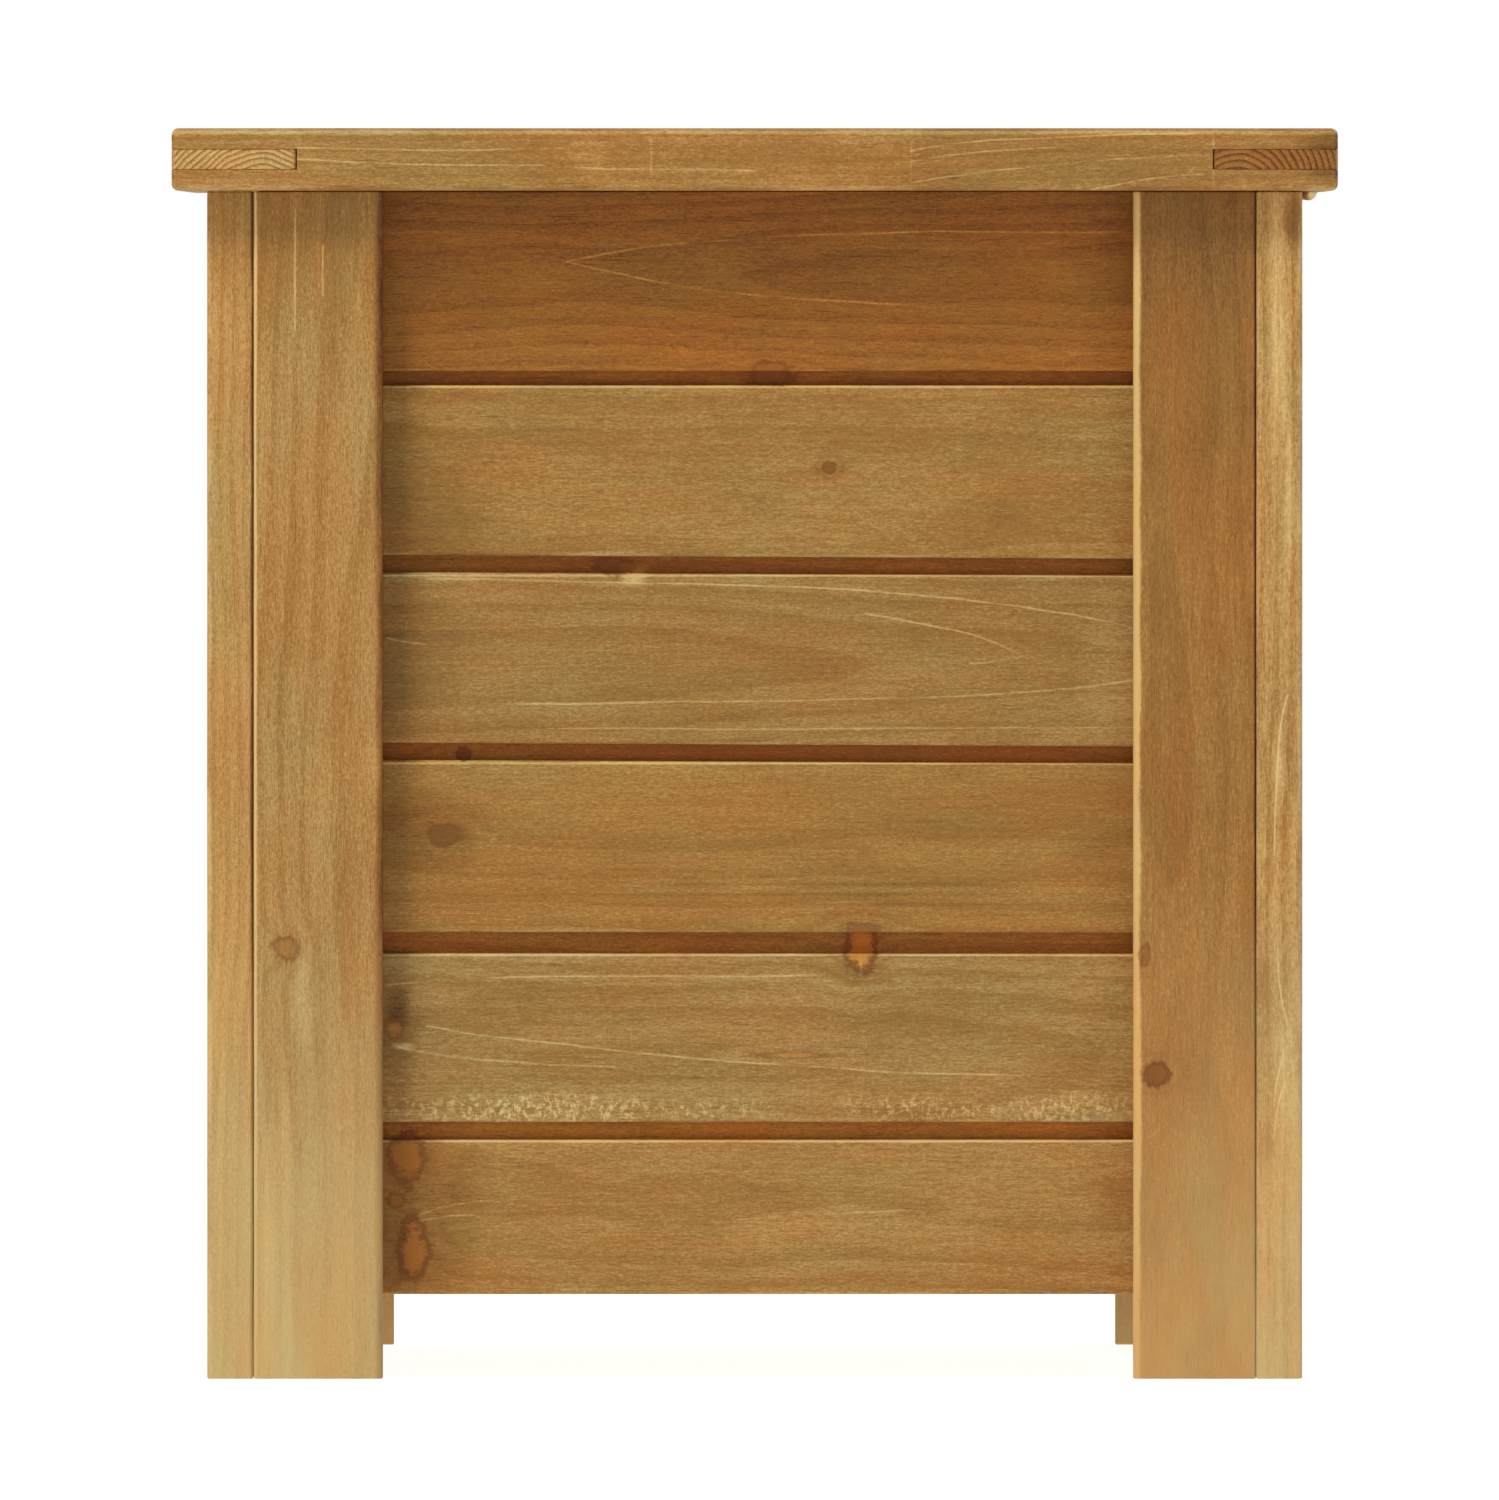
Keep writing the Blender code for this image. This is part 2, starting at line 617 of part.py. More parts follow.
def strut_pivots():
    """The strut's (lower, upper) pivots, as (y, z), with the lid closed."""
    drop = PIN_Z - (LID_BOTTOM - STRUT_LID_PIVOT_DROP)
    upper_angle = math.pi + math.asin(drop / STRUT_ARM)
    lower_angle = upper_angle + math.radians(STRUT_CLOSED_ANGLE)
    return [
        (PIN_Y + STRUT_ARM * math.cos(angle), PIN_Z + STRUT_ARM * math.sin(angle))
        for angle in (lower_angle, upper_angle)
    ]


def eye_and_body(name, profile, finish, pivot):
    """A turned body with a flat eye on its end, drilled for a stud. The eye is at the origin."""
    bm = bmesh.new()
    add_turned(bm, profile)
    made = place(name, bm, finish, parent=pivot)
    half = EYE_THICKNESS / 2

    def add_eye(bm):
        add_cylinder(bm, EYE_RADIUS, (-half, 0, 0), (half, 0, 0))

    def add_hole(bm):
        add_cylinder(bm, EYE_HOLE, (-half - PAST, 0, 0), (half + PAST, 0, 0))

    cut(made, name + "_eye", add_eye, "UNION", pivot)
    cut(made, name + "_hole", add_hole, parent=pivot)


def strut_cylinder(pivot):
    start, end = CYLINDER_START, CYLINDER_START + CYLINDER_LENGTH
    lip = 0.001
    profile = [
        (0, EYE_HOLE + 0.0008), (0.0045, EYE_HOLE + 0.0008), (0.0045, start - 0.002),
        (CYLINDER_RADIUS - lip, start), (CYLINDER_RADIUS, start + lip),
        (CYLINDER_RADIUS, end - lip), (CYLINDER_RADIUS - lip, end), (CYLINDER_BORE, end),
        (CYLINDER_BORE, end - CYLINDER_BORE_DEPTH), (0, end - CYLINDER_BORE_DEPTH),
    ]
    eye_and_body("strut_cylinder", profile, material("black_paint", BLACK_COLOUR, 0.35), pivot)


def strut_rod(pivot):
    """The rod hangs down the strut's axis from the upper pivot."""
    profile = [
        (0, -ROD_COLLAR_END - ROD_LENGTH + 0.018), (ROD_RADIUS - 0.0006, -ROD_LENGTH),
        (ROD_RADIUS, -ROD_LENGTH + 0.0006), (ROD_RADIUS, -ROD_COLLAR_END),
        (ROD_COLLAR_RADIUS, -ROD_COLLAR_END), (ROD_COLLAR_RADIUS, -EYE_HOLE - 0.0008),
        (0, -EYE_HOLE - 0.0008),
    ]
    eye_and_body("strut_rod", profile, material("steel", STEEL_COLOUR, 0.25, 1.0), pivot)


def add_stud(bm, root_x, y, z):
    """A stud along -X from a bracket, with a head that keeps the strut's eye on."""
    head = STRUT_X - EYE_THICKNESS / 2 - STUD_SIDE_PLAY
    add_cylinder(bm, STUD_RADIUS, (root_x, y, z), (head - STUD_HEAD_LENGTH / 2, y, z))


def add_stud_head(bm, y, z):
    head = STRUT_X - EYE_THICKNESS / 2 - STUD_SIDE_PLAY
    add_cylinder(bm, STUD_HEAD_RADIUS, (head, y, z), (head - STUD_HEAD_LENGTH, y, z))


def strut_brackets(lower, upper, pivot):
    """The plates that hold the strut's studs: one on the right end wall, one under the lid."""
    steel = material("zinc_plate", STEEL_COLOUR, 0.4, 1.0)
    face = ROOM_X - JOINT_GAP
    y, z = lower
    half_y, half_z = WALL_BRACKET_SIZE[0] / 2, WALL_BRACKET_SIZE[1] / 2
    wall = block(
        "strut_wall_bracket", (face - BRACKET_THICKNESS, y - half_y, z - half_z),
        (face, y + half_y, z + half_z), steel,
    )
    cut(wall, "wall_stud", lambda bm: add_stud(bm, face - BRACKET_THICKNESS / 2, y, z), "UNION")
    cut(wall, "wall_stud_head", lambda bm: add_stud_head(bm, y, z), "UNION")

    y, z = upper
    top = LID_BOARD_BOTTOM - JOINT_GAP
    ear_high = LID_BRACKET_EAR_X + BRACKET_THICKNESS
    lid = block(
        "strut_lid_bracket",
        (ear_high - LID_BRACKET_SIZE[0], y - LID_BRACKET_SIZE[1] / 2, top - BRACKET_THICKNESS),
        (ear_high, y + LID_BRACKET_SIZE[1] / 2, top), steel, parent=pivot,
    )
    half_ear = LID_BRACKET_EAR_WIDTH / 2

    def add_ear(bm):
        low = (LID_BRACKET_EAR_X, y - half_ear, z - half_ear)
        add_box(bm, low, (ear_high - 0.0002, y + half_ear, top - BRACKET_THICKNESS / 2))

    cut(lid, "lid_ear", add_ear, "UNION")
    cut(lid, "lid_stud", lambda bm: add_stud(bm, ear_high - 0.001, y, z), "UNION")
    cut(lid, "lid_stud_head", lambda bm: add_stud_head(bm, y, z), "UNION")


def strut(lid_pivot):
    lower, upper = strut_pivots()
    lean = math.atan2(lower[0] - upper[0], upper[1] - lower[1])
    lower_pivot = empty("strut_lower_pivot", (STRUT_X, *lower), rotation_x=lean)
    upper_pivot = empty("strut_upper_pivot", (STRUT_X, *upper), lid_pivot, lean)
    strut_cylinder(lower_pivot)
    strut_rod(upper_pivot)
    strut_brackets(lower, upper, lid_pivot)


def main():
    for old in list(bpy.data.objects):
        bpy.data.objects.remove(old)
    lid_pivot = empty("lid_pivot", (0, PIN_Y, PIN_Z))
    face_stiles()
    end_stiles()
    hinge_rail()
    walls()
    floor()
    lid_end_rails(lid_pivot)
    lid_long_rails(lid_pivot)
    lid_boards(lid_pivot)
    lid_cleats(lid_pivot)
    hinges(lid_pivot)
    strut(lid_pivot)


main()
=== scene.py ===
"""Looks for the wooden toy box: stained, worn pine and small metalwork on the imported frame."""

import math

import bmesh
import bpy
from mathutils import Matrix, Vector
from mathutils.noise import noise


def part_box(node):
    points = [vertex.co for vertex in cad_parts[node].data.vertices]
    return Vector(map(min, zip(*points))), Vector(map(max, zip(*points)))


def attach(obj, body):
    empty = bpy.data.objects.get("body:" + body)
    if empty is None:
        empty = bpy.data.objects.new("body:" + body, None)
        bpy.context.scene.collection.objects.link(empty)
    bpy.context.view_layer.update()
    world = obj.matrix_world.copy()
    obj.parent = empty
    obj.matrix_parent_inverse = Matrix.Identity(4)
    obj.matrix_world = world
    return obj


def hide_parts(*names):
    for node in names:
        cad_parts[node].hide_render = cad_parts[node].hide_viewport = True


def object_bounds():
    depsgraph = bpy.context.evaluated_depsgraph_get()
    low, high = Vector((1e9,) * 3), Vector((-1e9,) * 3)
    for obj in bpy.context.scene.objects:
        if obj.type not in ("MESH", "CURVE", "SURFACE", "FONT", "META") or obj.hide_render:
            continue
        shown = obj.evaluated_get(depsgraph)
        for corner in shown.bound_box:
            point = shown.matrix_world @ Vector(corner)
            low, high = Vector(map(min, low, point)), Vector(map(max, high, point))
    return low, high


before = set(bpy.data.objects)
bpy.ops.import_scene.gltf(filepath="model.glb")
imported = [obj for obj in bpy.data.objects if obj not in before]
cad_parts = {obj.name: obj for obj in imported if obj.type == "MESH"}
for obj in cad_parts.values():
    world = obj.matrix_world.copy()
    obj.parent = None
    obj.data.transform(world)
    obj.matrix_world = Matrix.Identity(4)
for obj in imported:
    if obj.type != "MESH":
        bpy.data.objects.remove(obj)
CAD_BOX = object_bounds()

# Joinery, as in the CAD
SHADOW_GAP = 0.007
TONGUE_THICKNESS = 0.005
TONGUE_BITE = 0.006
GROOVE_ROOM = 0.0005
JOINT_GAP = 0.0003
PANEL_TONGUE = 0.006
LID_RAIL_WIDTH = 0.050
TENON_THICKNESS = 0.0078
LEAF_THICKNESS = 0.0016
KNUCKLE_RADIUS = 0.0033
PAST = 0.010  # how far a cutter runs past the face that it opens
SLOT_PLAY = 0.0002  # above and below a tenon or a tongue in the lid's frame
SHOULDER_PLAY = 0.0001
PANEL_TONGUE_DEPTH = 0.0088  # below the lid boards' faces
WALL_BOARDS = 6  # in each wall, numbered from the top
LID_BOARDS = 5

# The photographed end: the height of each shadow gap's (upper, lower) edge, and how far
# the gap's right-hand end drops for each metre along it
RIGHT_END_GAPS = (
    (0.4028, 0.3972, 0.000),
    (0.3285, 0.3217, 0.005),
    (0.2534, 0.2466, 0.005),
    (0.1783, 0.1699, 0.001),
    (0.1024, 0.0954, 0.000),
)

# Small adjustments of the visible timber within the CAD's solids
TOP_RISE = 0.0005  # the visible tops reach nearer the closed lid
JOINT_SHIFT = 0.0006  # the corner joint lies this much further out
STILE_TRIM = 0.0026  # the photographed end's back stile is narrower by this

# Surface of the timber
POST_ROUND = 0.0022
LID_ROUND = 0.0026
BOARD_ROUND = 0.0012
INNER_ROUND = 0.0006
HIDDEN_ROUND = 0.0004
FINE_ROUND = 0.0003
PLYWOOD_ROUND = 0.0005
CLEAT_END_ROUND = 0.002
ROUND_SEGMENTS = 4
STATION = 0.008  # spacing of the cross-sections along a board
FACE_STEP = 0.012  # widest flat strip across a board
WAVE = 0.00008  # height of the planing waves
ARRIS_WEAR = 0.00045
LINE_HALF_WIDTH = 0.00034  # of a pale growth line
FEET_FADE = 0.20  # height below which the posts are paler: partly worn stain and partly painted bounce light from the floor
SMALL = 1e-6

# Colours in linear light: what the stain gives on soft and on hard wood
PINE_DARK = (0.095, 0.030, 0.0045)
PINE_MIDDLE = (0.313, 0.150, 0.0330)
PINE_LIGHT = (0.640, 0.425, 0.165)
# PINE_STRAW: the paler colour near the posts' feet, partly worn stain and partly painted bounce light from
# the floor
PINE_STRAW = (0.560, 0.385, 0.160)
KNOT_HEART = (0.190, 0.062, 0.0060)
KNOT_HALO = (0.235, 0.088, 0.0120)
KNOT_ORANGE = (0.560, 0.215, 0.0270)
KNOT_RED = (0.340, 0.115, 0.0130)
KNOT_RIM = (0.125, 0.037, 0.0036)
GAP_STAIN_AND_SHADE = (0.92, 0.56, 0.17)  # what the stain gathered in the gaps and the painted shade there leave of each colour

AXES = {
    "+X": Vector((1, 0, 0)), "-X": Vector((-1, 0, 0)),
    "+Y": Vector((0, 1, 0)), "-Y": Vector((0, -1, 0)),
    "+Z": Vector((0, 0, 1)), "-Z": Vector((0, 0, -1)),
}


# ---- node helpers ---------------------------------------------------------------------


class Shader:
    """Short names for building a material's node tree."""

    def __init__(self, name):
        self.material = bpy.data.materials.new(name)
        self.material.use_nodes = True
        self.tree = self.material.node_tree
        self.principled = self.tree.nodes["Principled BSDF"]

    def feed(self, socket, value):
        if isinstance(value, bpy.types.NodeSocket):
            self.tree.links.new(value, socket)
        elif isinstance(value, (tuple, list)) and len(value) == 3 and socket.type == "RGBA":
            socket.default_value = (*value, 1.0)
        else:
            socket.default_value = value

    def add(self, kind, inputs=(), **settings):
        node = self.tree.nodes.new("ShaderNode" + kind)
        for key, value in settings.items():
            setattr(node, key, value)
        for key, value in dict(inputs).items():
            self.feed(node.inputs[key], value)
        return node

    def math(self, operation, a, b=0.0, c=0.0, clamp=False):
        inputs = {0: a, 1: b, 2: c}
        return self.add("Math", inputs, operation=operation, use_clamp=clamp).outputs[0]

    def times(self, a, b):
        return self.math("MULTIPLY", a, b)

    def plus(self, a, b):
        return self.math("ADD", a, b)

    def minus(self, a, b):
        return self.math("SUBTRACT", a, b)

    def total(self, base, *terms):
        """The base plus each term's value times its amount."""
        for value, amount in terms:
            base = self.math("MULTIPLY_ADD", value, amount, base)
        return base

    def most(self, a, b):
        return self.math("MAXIMUM", a, b)

    def vector(self, operation, a, b=(0, 0, 0)):
        node = self.add("VectorMath", {0: a, 1: b}, operation=operation)
        return node.outputs["Value" if operation in ("LENGTH", "DOT_PRODUCT") else "Vector"]

    def combine(self, x, y, z):
        return self.add("CombineXYZ", {"X": x, "Y": y, "Z": z}).outputs[0]

    def split(self, vector):
        return self.add("SeparateXYZ", {0: vector}).outputs

    def noise(self, vector, scale, detail=2.0, rough=0.5, stretch=(1, 1, 1)):
        stretched = self.vector("MULTIPLY", vector, stretch)
        inputs = {"Vector": stretched, "Scale": scale, "Detail": detail, "Roughness": rough}
        return self.add("TexNoise", inputs).outputs["Fac"]

    def band(self, value, low, high, to_low=0.0, to_high=1.0, smooth=True):
        inputs = {0: value, 1: low, 2: high, 3: to_low, 4: to_high}
        kind = "SMOOTHSTEP" if smooth else "LINEAR"
        return self.add("MapRange", inputs, interpolation_type=kind).outputs[0]

    def mix(self, factor, a, b, blend="MIX"):
        node = self.add("Mix", data_type="RGBA", blend_type=blend)
        self.feed(node.inputs[0], factor)
        self.feed(node.inputs[6], a)
        self.feed(node.inputs[7], b)
        return node.outputs[2]

    def ramp(self, value, stops):
        node = self.add("ValToRGB", {0: value})
        ramp = node.color_ramp
        while len(ramp.elements) < len(stops):
            ramp.elements.new(1.0)
        for element, (place, colour) in zip(ramp.elements, stops):
            element.position = place
            element.color = (*colour, 1.0)
        return node.outputs[0]

    def finish(self, colour, roughness, height, distance, **constants):
        """Wires up the shader. Each constant is set on the shader's own socket."""
        bump = self.add("Bump", {"Height": height, "Distance": distance, "Strength": 1.0})
        self.feed(self.principled.inputs["Base Color"], colour)
        self.feed(self.principled.inputs["Roughness"], roughness)
        self.tree.links.new(bump.outputs[0], self.principled.inputs["Normal"])
        for key, value in constants.items():
            socket = key.replace("_", " ").title().replace("Ior", "IOR")
            self.principled.inputs[socket].default_value = value
        return self.material


# ---- pine -----------------------------------------------------------------------------


def to_board(shader, board):
    """Object coordinates as (along, across, depth) from the middle of the board's face."""
    point = shader.add("TexCoord").outputs["Object"]
    moved = shader.vector("SUBTRACT", point, tuple(board.origin))
    parts = [shader.vector("DOT_PRODUCT", moved, tuple(axis)) for axis in board.axes]
    return shader.combine(*parts)


# Across a knot, where its own radius is 1
HEART_EDGE = (1.30, 0.45)  # none of the heart, and all of it
RIM_RADIUS = 0.98
RIM_WIDTH = 0.42
HALO_SHRINK = (0.36, 0.72, 0)  # the halo is longer than the knot

WHOLE = 4.0  # a half length longer than any board


def knot_fields(s, place, knots):
    """The knots' fields: a push that bends the rings, the hearts, their rims and their halos.

    Each knot is (along, across, half length, half width, strength).
    """
    if not knots:
        return 0.0, 0.0, 0.0, 0.0
    push, heart, rim, halo = 0.0, 0.0, 0.0, 0.0
    coarse = s.noise(place, 170.0, 3.0, 0.6)
    fine = s.noise(place, 750.0, 2.0, 0.6, (0.5, 1.0, 1.0))
    # A rough edge: the two noises' sum, less its middle
    ragged = s.minus(s.total(s.times(coarse, 1.3), (fine, 0.8)), 1.05)
    for along, across, half_length, half_width, strength in knots:
        moved = s.vector("SUBTRACT", place, (along, across, 0))
        flat = s.vector("MULTIPLY", moved, (1 / half_length, 1 / half_width, 0))
        far = s.plus(s.vector("LENGTH", flat), ragged)
        push = s.plus(push, s.math("EXPONENT", s.times(s.math("POWER", far, 2.0), -0.3)))
        heart = s.most(heart, s.times(s.band(far, *HEART_EDGE), strength))
        from_rim = s.math("ABSOLUTE", s.minus(far, RIM_RADIUS))
        rim = s.most(rim, s.times(s.band(from_rim, RIM_WIDTH, 0.0), strength))
        tail = s.vector("MULTIPLY", flat, HALO_SHRINK)
        far_tail = s.total(s.vector("LENGTH", tail), (ragged, 0.8))
        halo = s.most(halo, s.times(s.band(far_tail, 1.1, 0.1), strength))
    return push, heart, rim, halo


def growth_lines(s, along, across, wobble, lines):
    """Thin pale lines of new growth.

    Each is (start, end, level, rise, reach, strength): it begins at the level, and rises
    steeply at first and then less and less, most of the way within the reach.
    """
    found = 0.0
    for start, end, level, rise, reach, strength in lines:
        way = 1.0 if end > start else -1.0
        run = s.times(s.minus(along, start), way)
        fade = s.math("EXPONENT", s.math("DIVIDE", s.most(run, 0.0), -reach))
        curve = s.total(level + rise, (fade, -rise))
        slope = s.times(fade, rise / reach)
        steep = s.math("SQRT", s.total(1.0, (slope, slope)))
        gap = s.math("ABSOLUTE", s.plus(s.minus(across, curve), wobble))
        gap = s.math("DIVIDE", gap, steep)
        on = s.band(gap, LINE_HALF_WIDTH * 1.7, LINE_HALF_WIDTH * 0.4, 0.0, strength)
        on = s.times(on, s.band(run, -0.0008, 0.0004))
        on = s.times(on, s.band(run, abs(end - start), abs(end - start) * 0.93))
        found = s.most(found, on)
    return found


def patches_on(s, place, ragged, patches):
    """Paler or darker patches, each (along, across, half length, half width, strength)."""
    total = 0.0
    for along, across, half_length, half_width, strength in patches:
        moved = s.vector("SUBTRACT", place, (along, across, 0))
        flat = s.vector("MULTIPLY", moved, (1 / half_length, 1 / half_width, 0))
        far = s.total(s.vector("LENGTH", flat), (ragged, 1.2))
        total = s.plus(total, s.band(far, 1.35, 0.25, 0.0, strength))
    return total


# The grain's noises: scale, detail, roughness, and the stretch along, across and into the wood
NOISES = {
    "bend": (7.0, 2.0, 0.5, (0.55, 1.6, 1.6)),
    "ripple": (42.0, 3.0, 0.5, (0.30, 1.6, 1.6)),
    "fine": (1750.0, 2.0, 0.7, (0.20, 1.0, 1.0)),
    "fibre": (760.0, 3.0, 0.65, (0.05, 1.0, 1.0)),
    "streak": (210.0, 3.0, 0.6, (0.022, 1.0, 1.0)),
    "speckle": (1050.0, 3.0, 0.7, (0.70, 1.0, 1.0)),
    "patch": (48.0, 3.0, 0.6, (0.45, 1.2, 1.2)),
    "blotch": (16.0, 3.0, 0.55, (0.6, 1.6, 1.6)),
    "hue": (34.0, 3.0, 0.6, (0.35, 1.3, 1.3)),
    "fleck": (1500.0, 1.0, 0.5, (0.05, 1.0, 1.0)),
    "glint": (1100.0, 2.0, 0.6, (0.10, 1.0, 1.0)),
    "rubbed": (75.0, 3.0, 0.6, (0.35, 1, 1)),
}
LINE_BREAKS = (120.0, 3.0, 0.6, (0.3, 1, 1))
# Painted glints: the noise for the bright shimmering dashes within the sparkle patches
SHIMMER = (700.0, 4.0, 0.7, (0.75, 0.55, 1.0))
# How strongly each noise changes the tone. The other strengths are the grain's own.
TONE_SHARE = {"fine": 0.56, "fibre": 0.26, "speckle": 0.50, "patch": 0.13}


def around(s, value, amount, total):
    """Adds a noise to a total, as a change of this amount about its middle."""
    return s.total(total, (s.minus(value, 0.5), amount))


def late_wood_of(s, across, depth, along, grain, bend, ripple, push):
    """The dark part of each growth ring round the pith."""
    pith_across, pith_depth = grain["pith"]
    from_pith = s.combine(0.0, s.minus(across, pith_across), s.minus(depth, pith_depth))
    bends = ((along, grain["taper"]), (bend, grain["bend"]), (ripple, 0.0030), (push, 0.009))
    radius = s.total(s.vector("LENGTH", from_pith), *bends)
    ring = s.math("FRACT", s.math("DIVIDE", radius, grain["spacing"]))
    return s.times(s.band(ring, 0.30, 0.92), s.band(ring, 1.0, 0.94))


def pine_material(board, grain):
    """Stained pine cut from a log: growth rings round a pith, fibres, stain blotches and knots."""
    s = Shader("pine_" + board.name)
    place = to_board(s, board)
    seed = grain["seed"]
    shifted = s.vector("ADD", place, (seed * 1.37, seed * 0.71, seed * 0.53))
    along, across, depth = s.split(place)[:3]
    seen_across, seen_depth = (depth, across) if grain["on_edge"] else (across, depth)
    seen = s.combine(along, seen_across, seen_depth)
    push, heart, rim, halo = knot_fields(s, seen, grain["knots"])

    noises = {name: s.noise(shifted, *settings) for name, settings in NOISES.items()}
    fine, fibre, patch, blotch = (noises[name] for name in ("fine", "fibre", "patch", "blotch"))
    fleck = s.band(noises["fleck"], 0.66, 0.76)
    glint = s.band(noises["glint"], 0.68, 0.78)
    ripple = noises["ripple"]
    late_wood = late_wood_of(s, across, depth, along, grain, noises["bend"], ripple, push)
    normal = s.add("TexCoord").outputs["Normal"]
    facing_end = s.math("ABSOLUTE", s.vector("DOT_PRODUCT", normal, tuple(board.axes[0])))
    end = s.band(facing_end, 0.6, 0.9)
    wear = s.add("Attribute", attribute_name="wear").outputs["Fac"]
    worn = s.times(wear, s.band(noises["rubbed"], 0.38, 0.62))

    tone = grain["tone"]
    for name in ("fine", "fibre", "speckle", "streak", "patch", "blotch"):
        tone = around(s, noises[name], TONE_SHARE.get(name) or grain[name], tone)
    marks = ((late_wood, -grain["rings"]), (fleck, -0.11), (glint, 0.13), (worn, grain["worn"]))
    tone = s.total(tone, *marks)
    if grain["lines"]:
        wobble = s.times(s.minus(ripple, 0.5), 0.0034)
        lines = growth_lines(s, along, seen_across, wobble, grain["lines"])
        breaks = s.band(s.noise(shifted, *LINE_BREAKS), 0.36, 0.54, 0.30, 1.0)
        tone = s.total(tone, (s.times(lines, breaks), 0.31))
    if grain["patches"] or grain["sparkle"]:
        ragged = s.minus(patch, 0.5)
    if grain["patches"]:
        tone = s.plus(tone, patches_on(s, seen, ragged, grain["patches"]))
    if grain["sparkle"]:
        shimmer = s.band(s.noise(shifted, *SHIMMER), 0.46, 0.68)
        tone = s.total(tone, (patches_on(s, seen, ragged, grain["sparkle"]), shimmer))
    tone = s.total(tone, (end, s.total(grain["end_tone"], (late_wood, -0.30))))

    colour = s.ramp(tone, ((0.0, PINE_DARK), (0.5, PINE_MIDDLE), (1.0, PINE_LIGHT)))
    # Paler towards the posts' feet: partly worn stain and partly painted bounce light from the floor
    if grain["feet"]:
        low = s.band(along, grain["feet"], grain["feet"] - FEET_FADE, 0.0, 0.74, smooth=False)
        colour = s.mix(s.times(low, s.band(blotch, 0.30, 0.62, 0.7, 1.0)), colour, PINE_STRAW)
    warm = s.mix(s.band(noises["hue"], 0.34, 0.66), (1.05, 0.96, 0.88), (0.97, 1.035, 1.06))
    colour = s.mix(1.0, colour, warm, "MULTIPLY")
    colour = s.mix(s.times(halo, 0.55), colour, grain["halo"])
    mottled = around(s, fibre, 1.1, 0.82)
    colour = s.mix(s.math("MULTIPLY", heart, mottled, clamp=True), colour, grain["heart"])
    colour = s.mix(s.times(rim, 0.80), colour, KNOT_RIM)
    if grain["gap_stain_and_shade_below"]:
        # Darker in the shadow gaps, between the face and the tongue's root: partly stain that gathers there
        # and partly painted shade
        gap_darkening = s.times(s.band(depth, 0.0011, 0.0030), s.band(depth, 0.0130, 0.0110))
        edge = grain["gap_stain_and_shade_below"]
        gap_darkening = s.times(gap_darkening, s.band(across, edge, edge - 0.002))
        colour = s.mix(gap_darkening, colour, s.mix(1.0, colour, GAP_STAIN_AND_SHADE, "MULTIPLY"))
    colour = s.mix(1.0, colour, grain["tint"], "MULTIPLY")

    roughness = s.total(0.44, (blotch, 0.16), (worn, -0.08), (end, 0.15))
    height = s.total(s.times(late_wood, 0.30), (fibre, 0.6), (fleck, -0.6), (fine, 0.35))
    return s.finish(colour, roughness, height, 0.00016, specular_ior_level=0.20)


# ---- boards ---------------------------------------------------------------------------


class Board:
    """A board's own frame: its axes point along it, across it and into the wood."""

    def __init__(self, name, origin, axes):
        self.name = name
        self.origin = Vector(origin)
        self.axes = [AXES[axis] for axis in axes]

    def world(self, along, across, depth):
        u, v, w = self.axes
        return self.origin + u * along + v * across + w * depth


def extents(node, axes):
    """A node's middle of face, and its length, width and thickness along the axes."""
    low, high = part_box(node)
    middle = (low + high) / 2
    u, v, w = (AXES[axis] for axis in axes)
    size = high - low
    length, width, thickness = (abs(size.dot(axis)) for axis in (u, v, w))
    return middle - w * (thickness / 2), length, width, thickness


def rounded(corners):
    """A closed section with rounded corners. corners are (across, depth, radius).

    Each point comes back as (across, depth, wear): wear is 1 on the crest of a rounding.
    """
    points = []
    count = len(corners)
    for index, (across, depth, radius) in enumerate(corners):
        here = Vector((across, depth))
        if not radius:
            points.append((across, depth, 0.0))
            continue
        before = (Vector(corners[index - 1][:2]) - here).normalized()
        after = (Vector(corners[(index + 1) % count][:2]) - here).normalized()
        centre = here + (before + after) * radius
        for step in range(ROUND_SEGMENTS + 1):
            turn = step / ROUND_SEGMENTS * math.pi / 2
            point = centre - (after * math.cos(turn) + before * math.sin(turn)) * radius
            points.append((point.x, point.y, 0.15 + 0.85 * math.sin(2 * turn)))
    return divided(points)


def divided(points):
    """Adds points on the long sides of a closed section, so that they can wave."""
    result = []
    for index, point in enumerate(points):
        result.append(point)
        following = points[(index + 1) % len(points)]
        gap = math.dist(point[:2], following[:2])
        pieces = max(1, math.ceil(gap / FACE_STEP))
        for step in range(1, pieces):
            share = step / pieces
            result.append((
                point[0] + (following[0] - point[0]) * share,
                point[1] + (following[1] - point[1]) * share,
                0.0,
            ))
    return result


def stations(length, end_round):
    """(along, inset) of each cross-section. The inset rounds off the two ends."""
    half = length / 2
    count = max(2, round((length - 2 * end_round) / STATION))
    flat = half - end_round
    middle = [(-flat + 2 * flat * step / count, 0.0) for step in range(count + 1)]
    if not end_round:
        return middle
    turns = [math.pi / 2 * step / ROUND_SEGMENTS for step in range(1, ROUND_SEGMENTS + 1)]
    ends = [(flat + end_round * math.sin(t), end_round * (1 - math.cos(t))) for t in turns]
    return [(-along, inset) for along, inset in reversed(ends)] + middle + ends


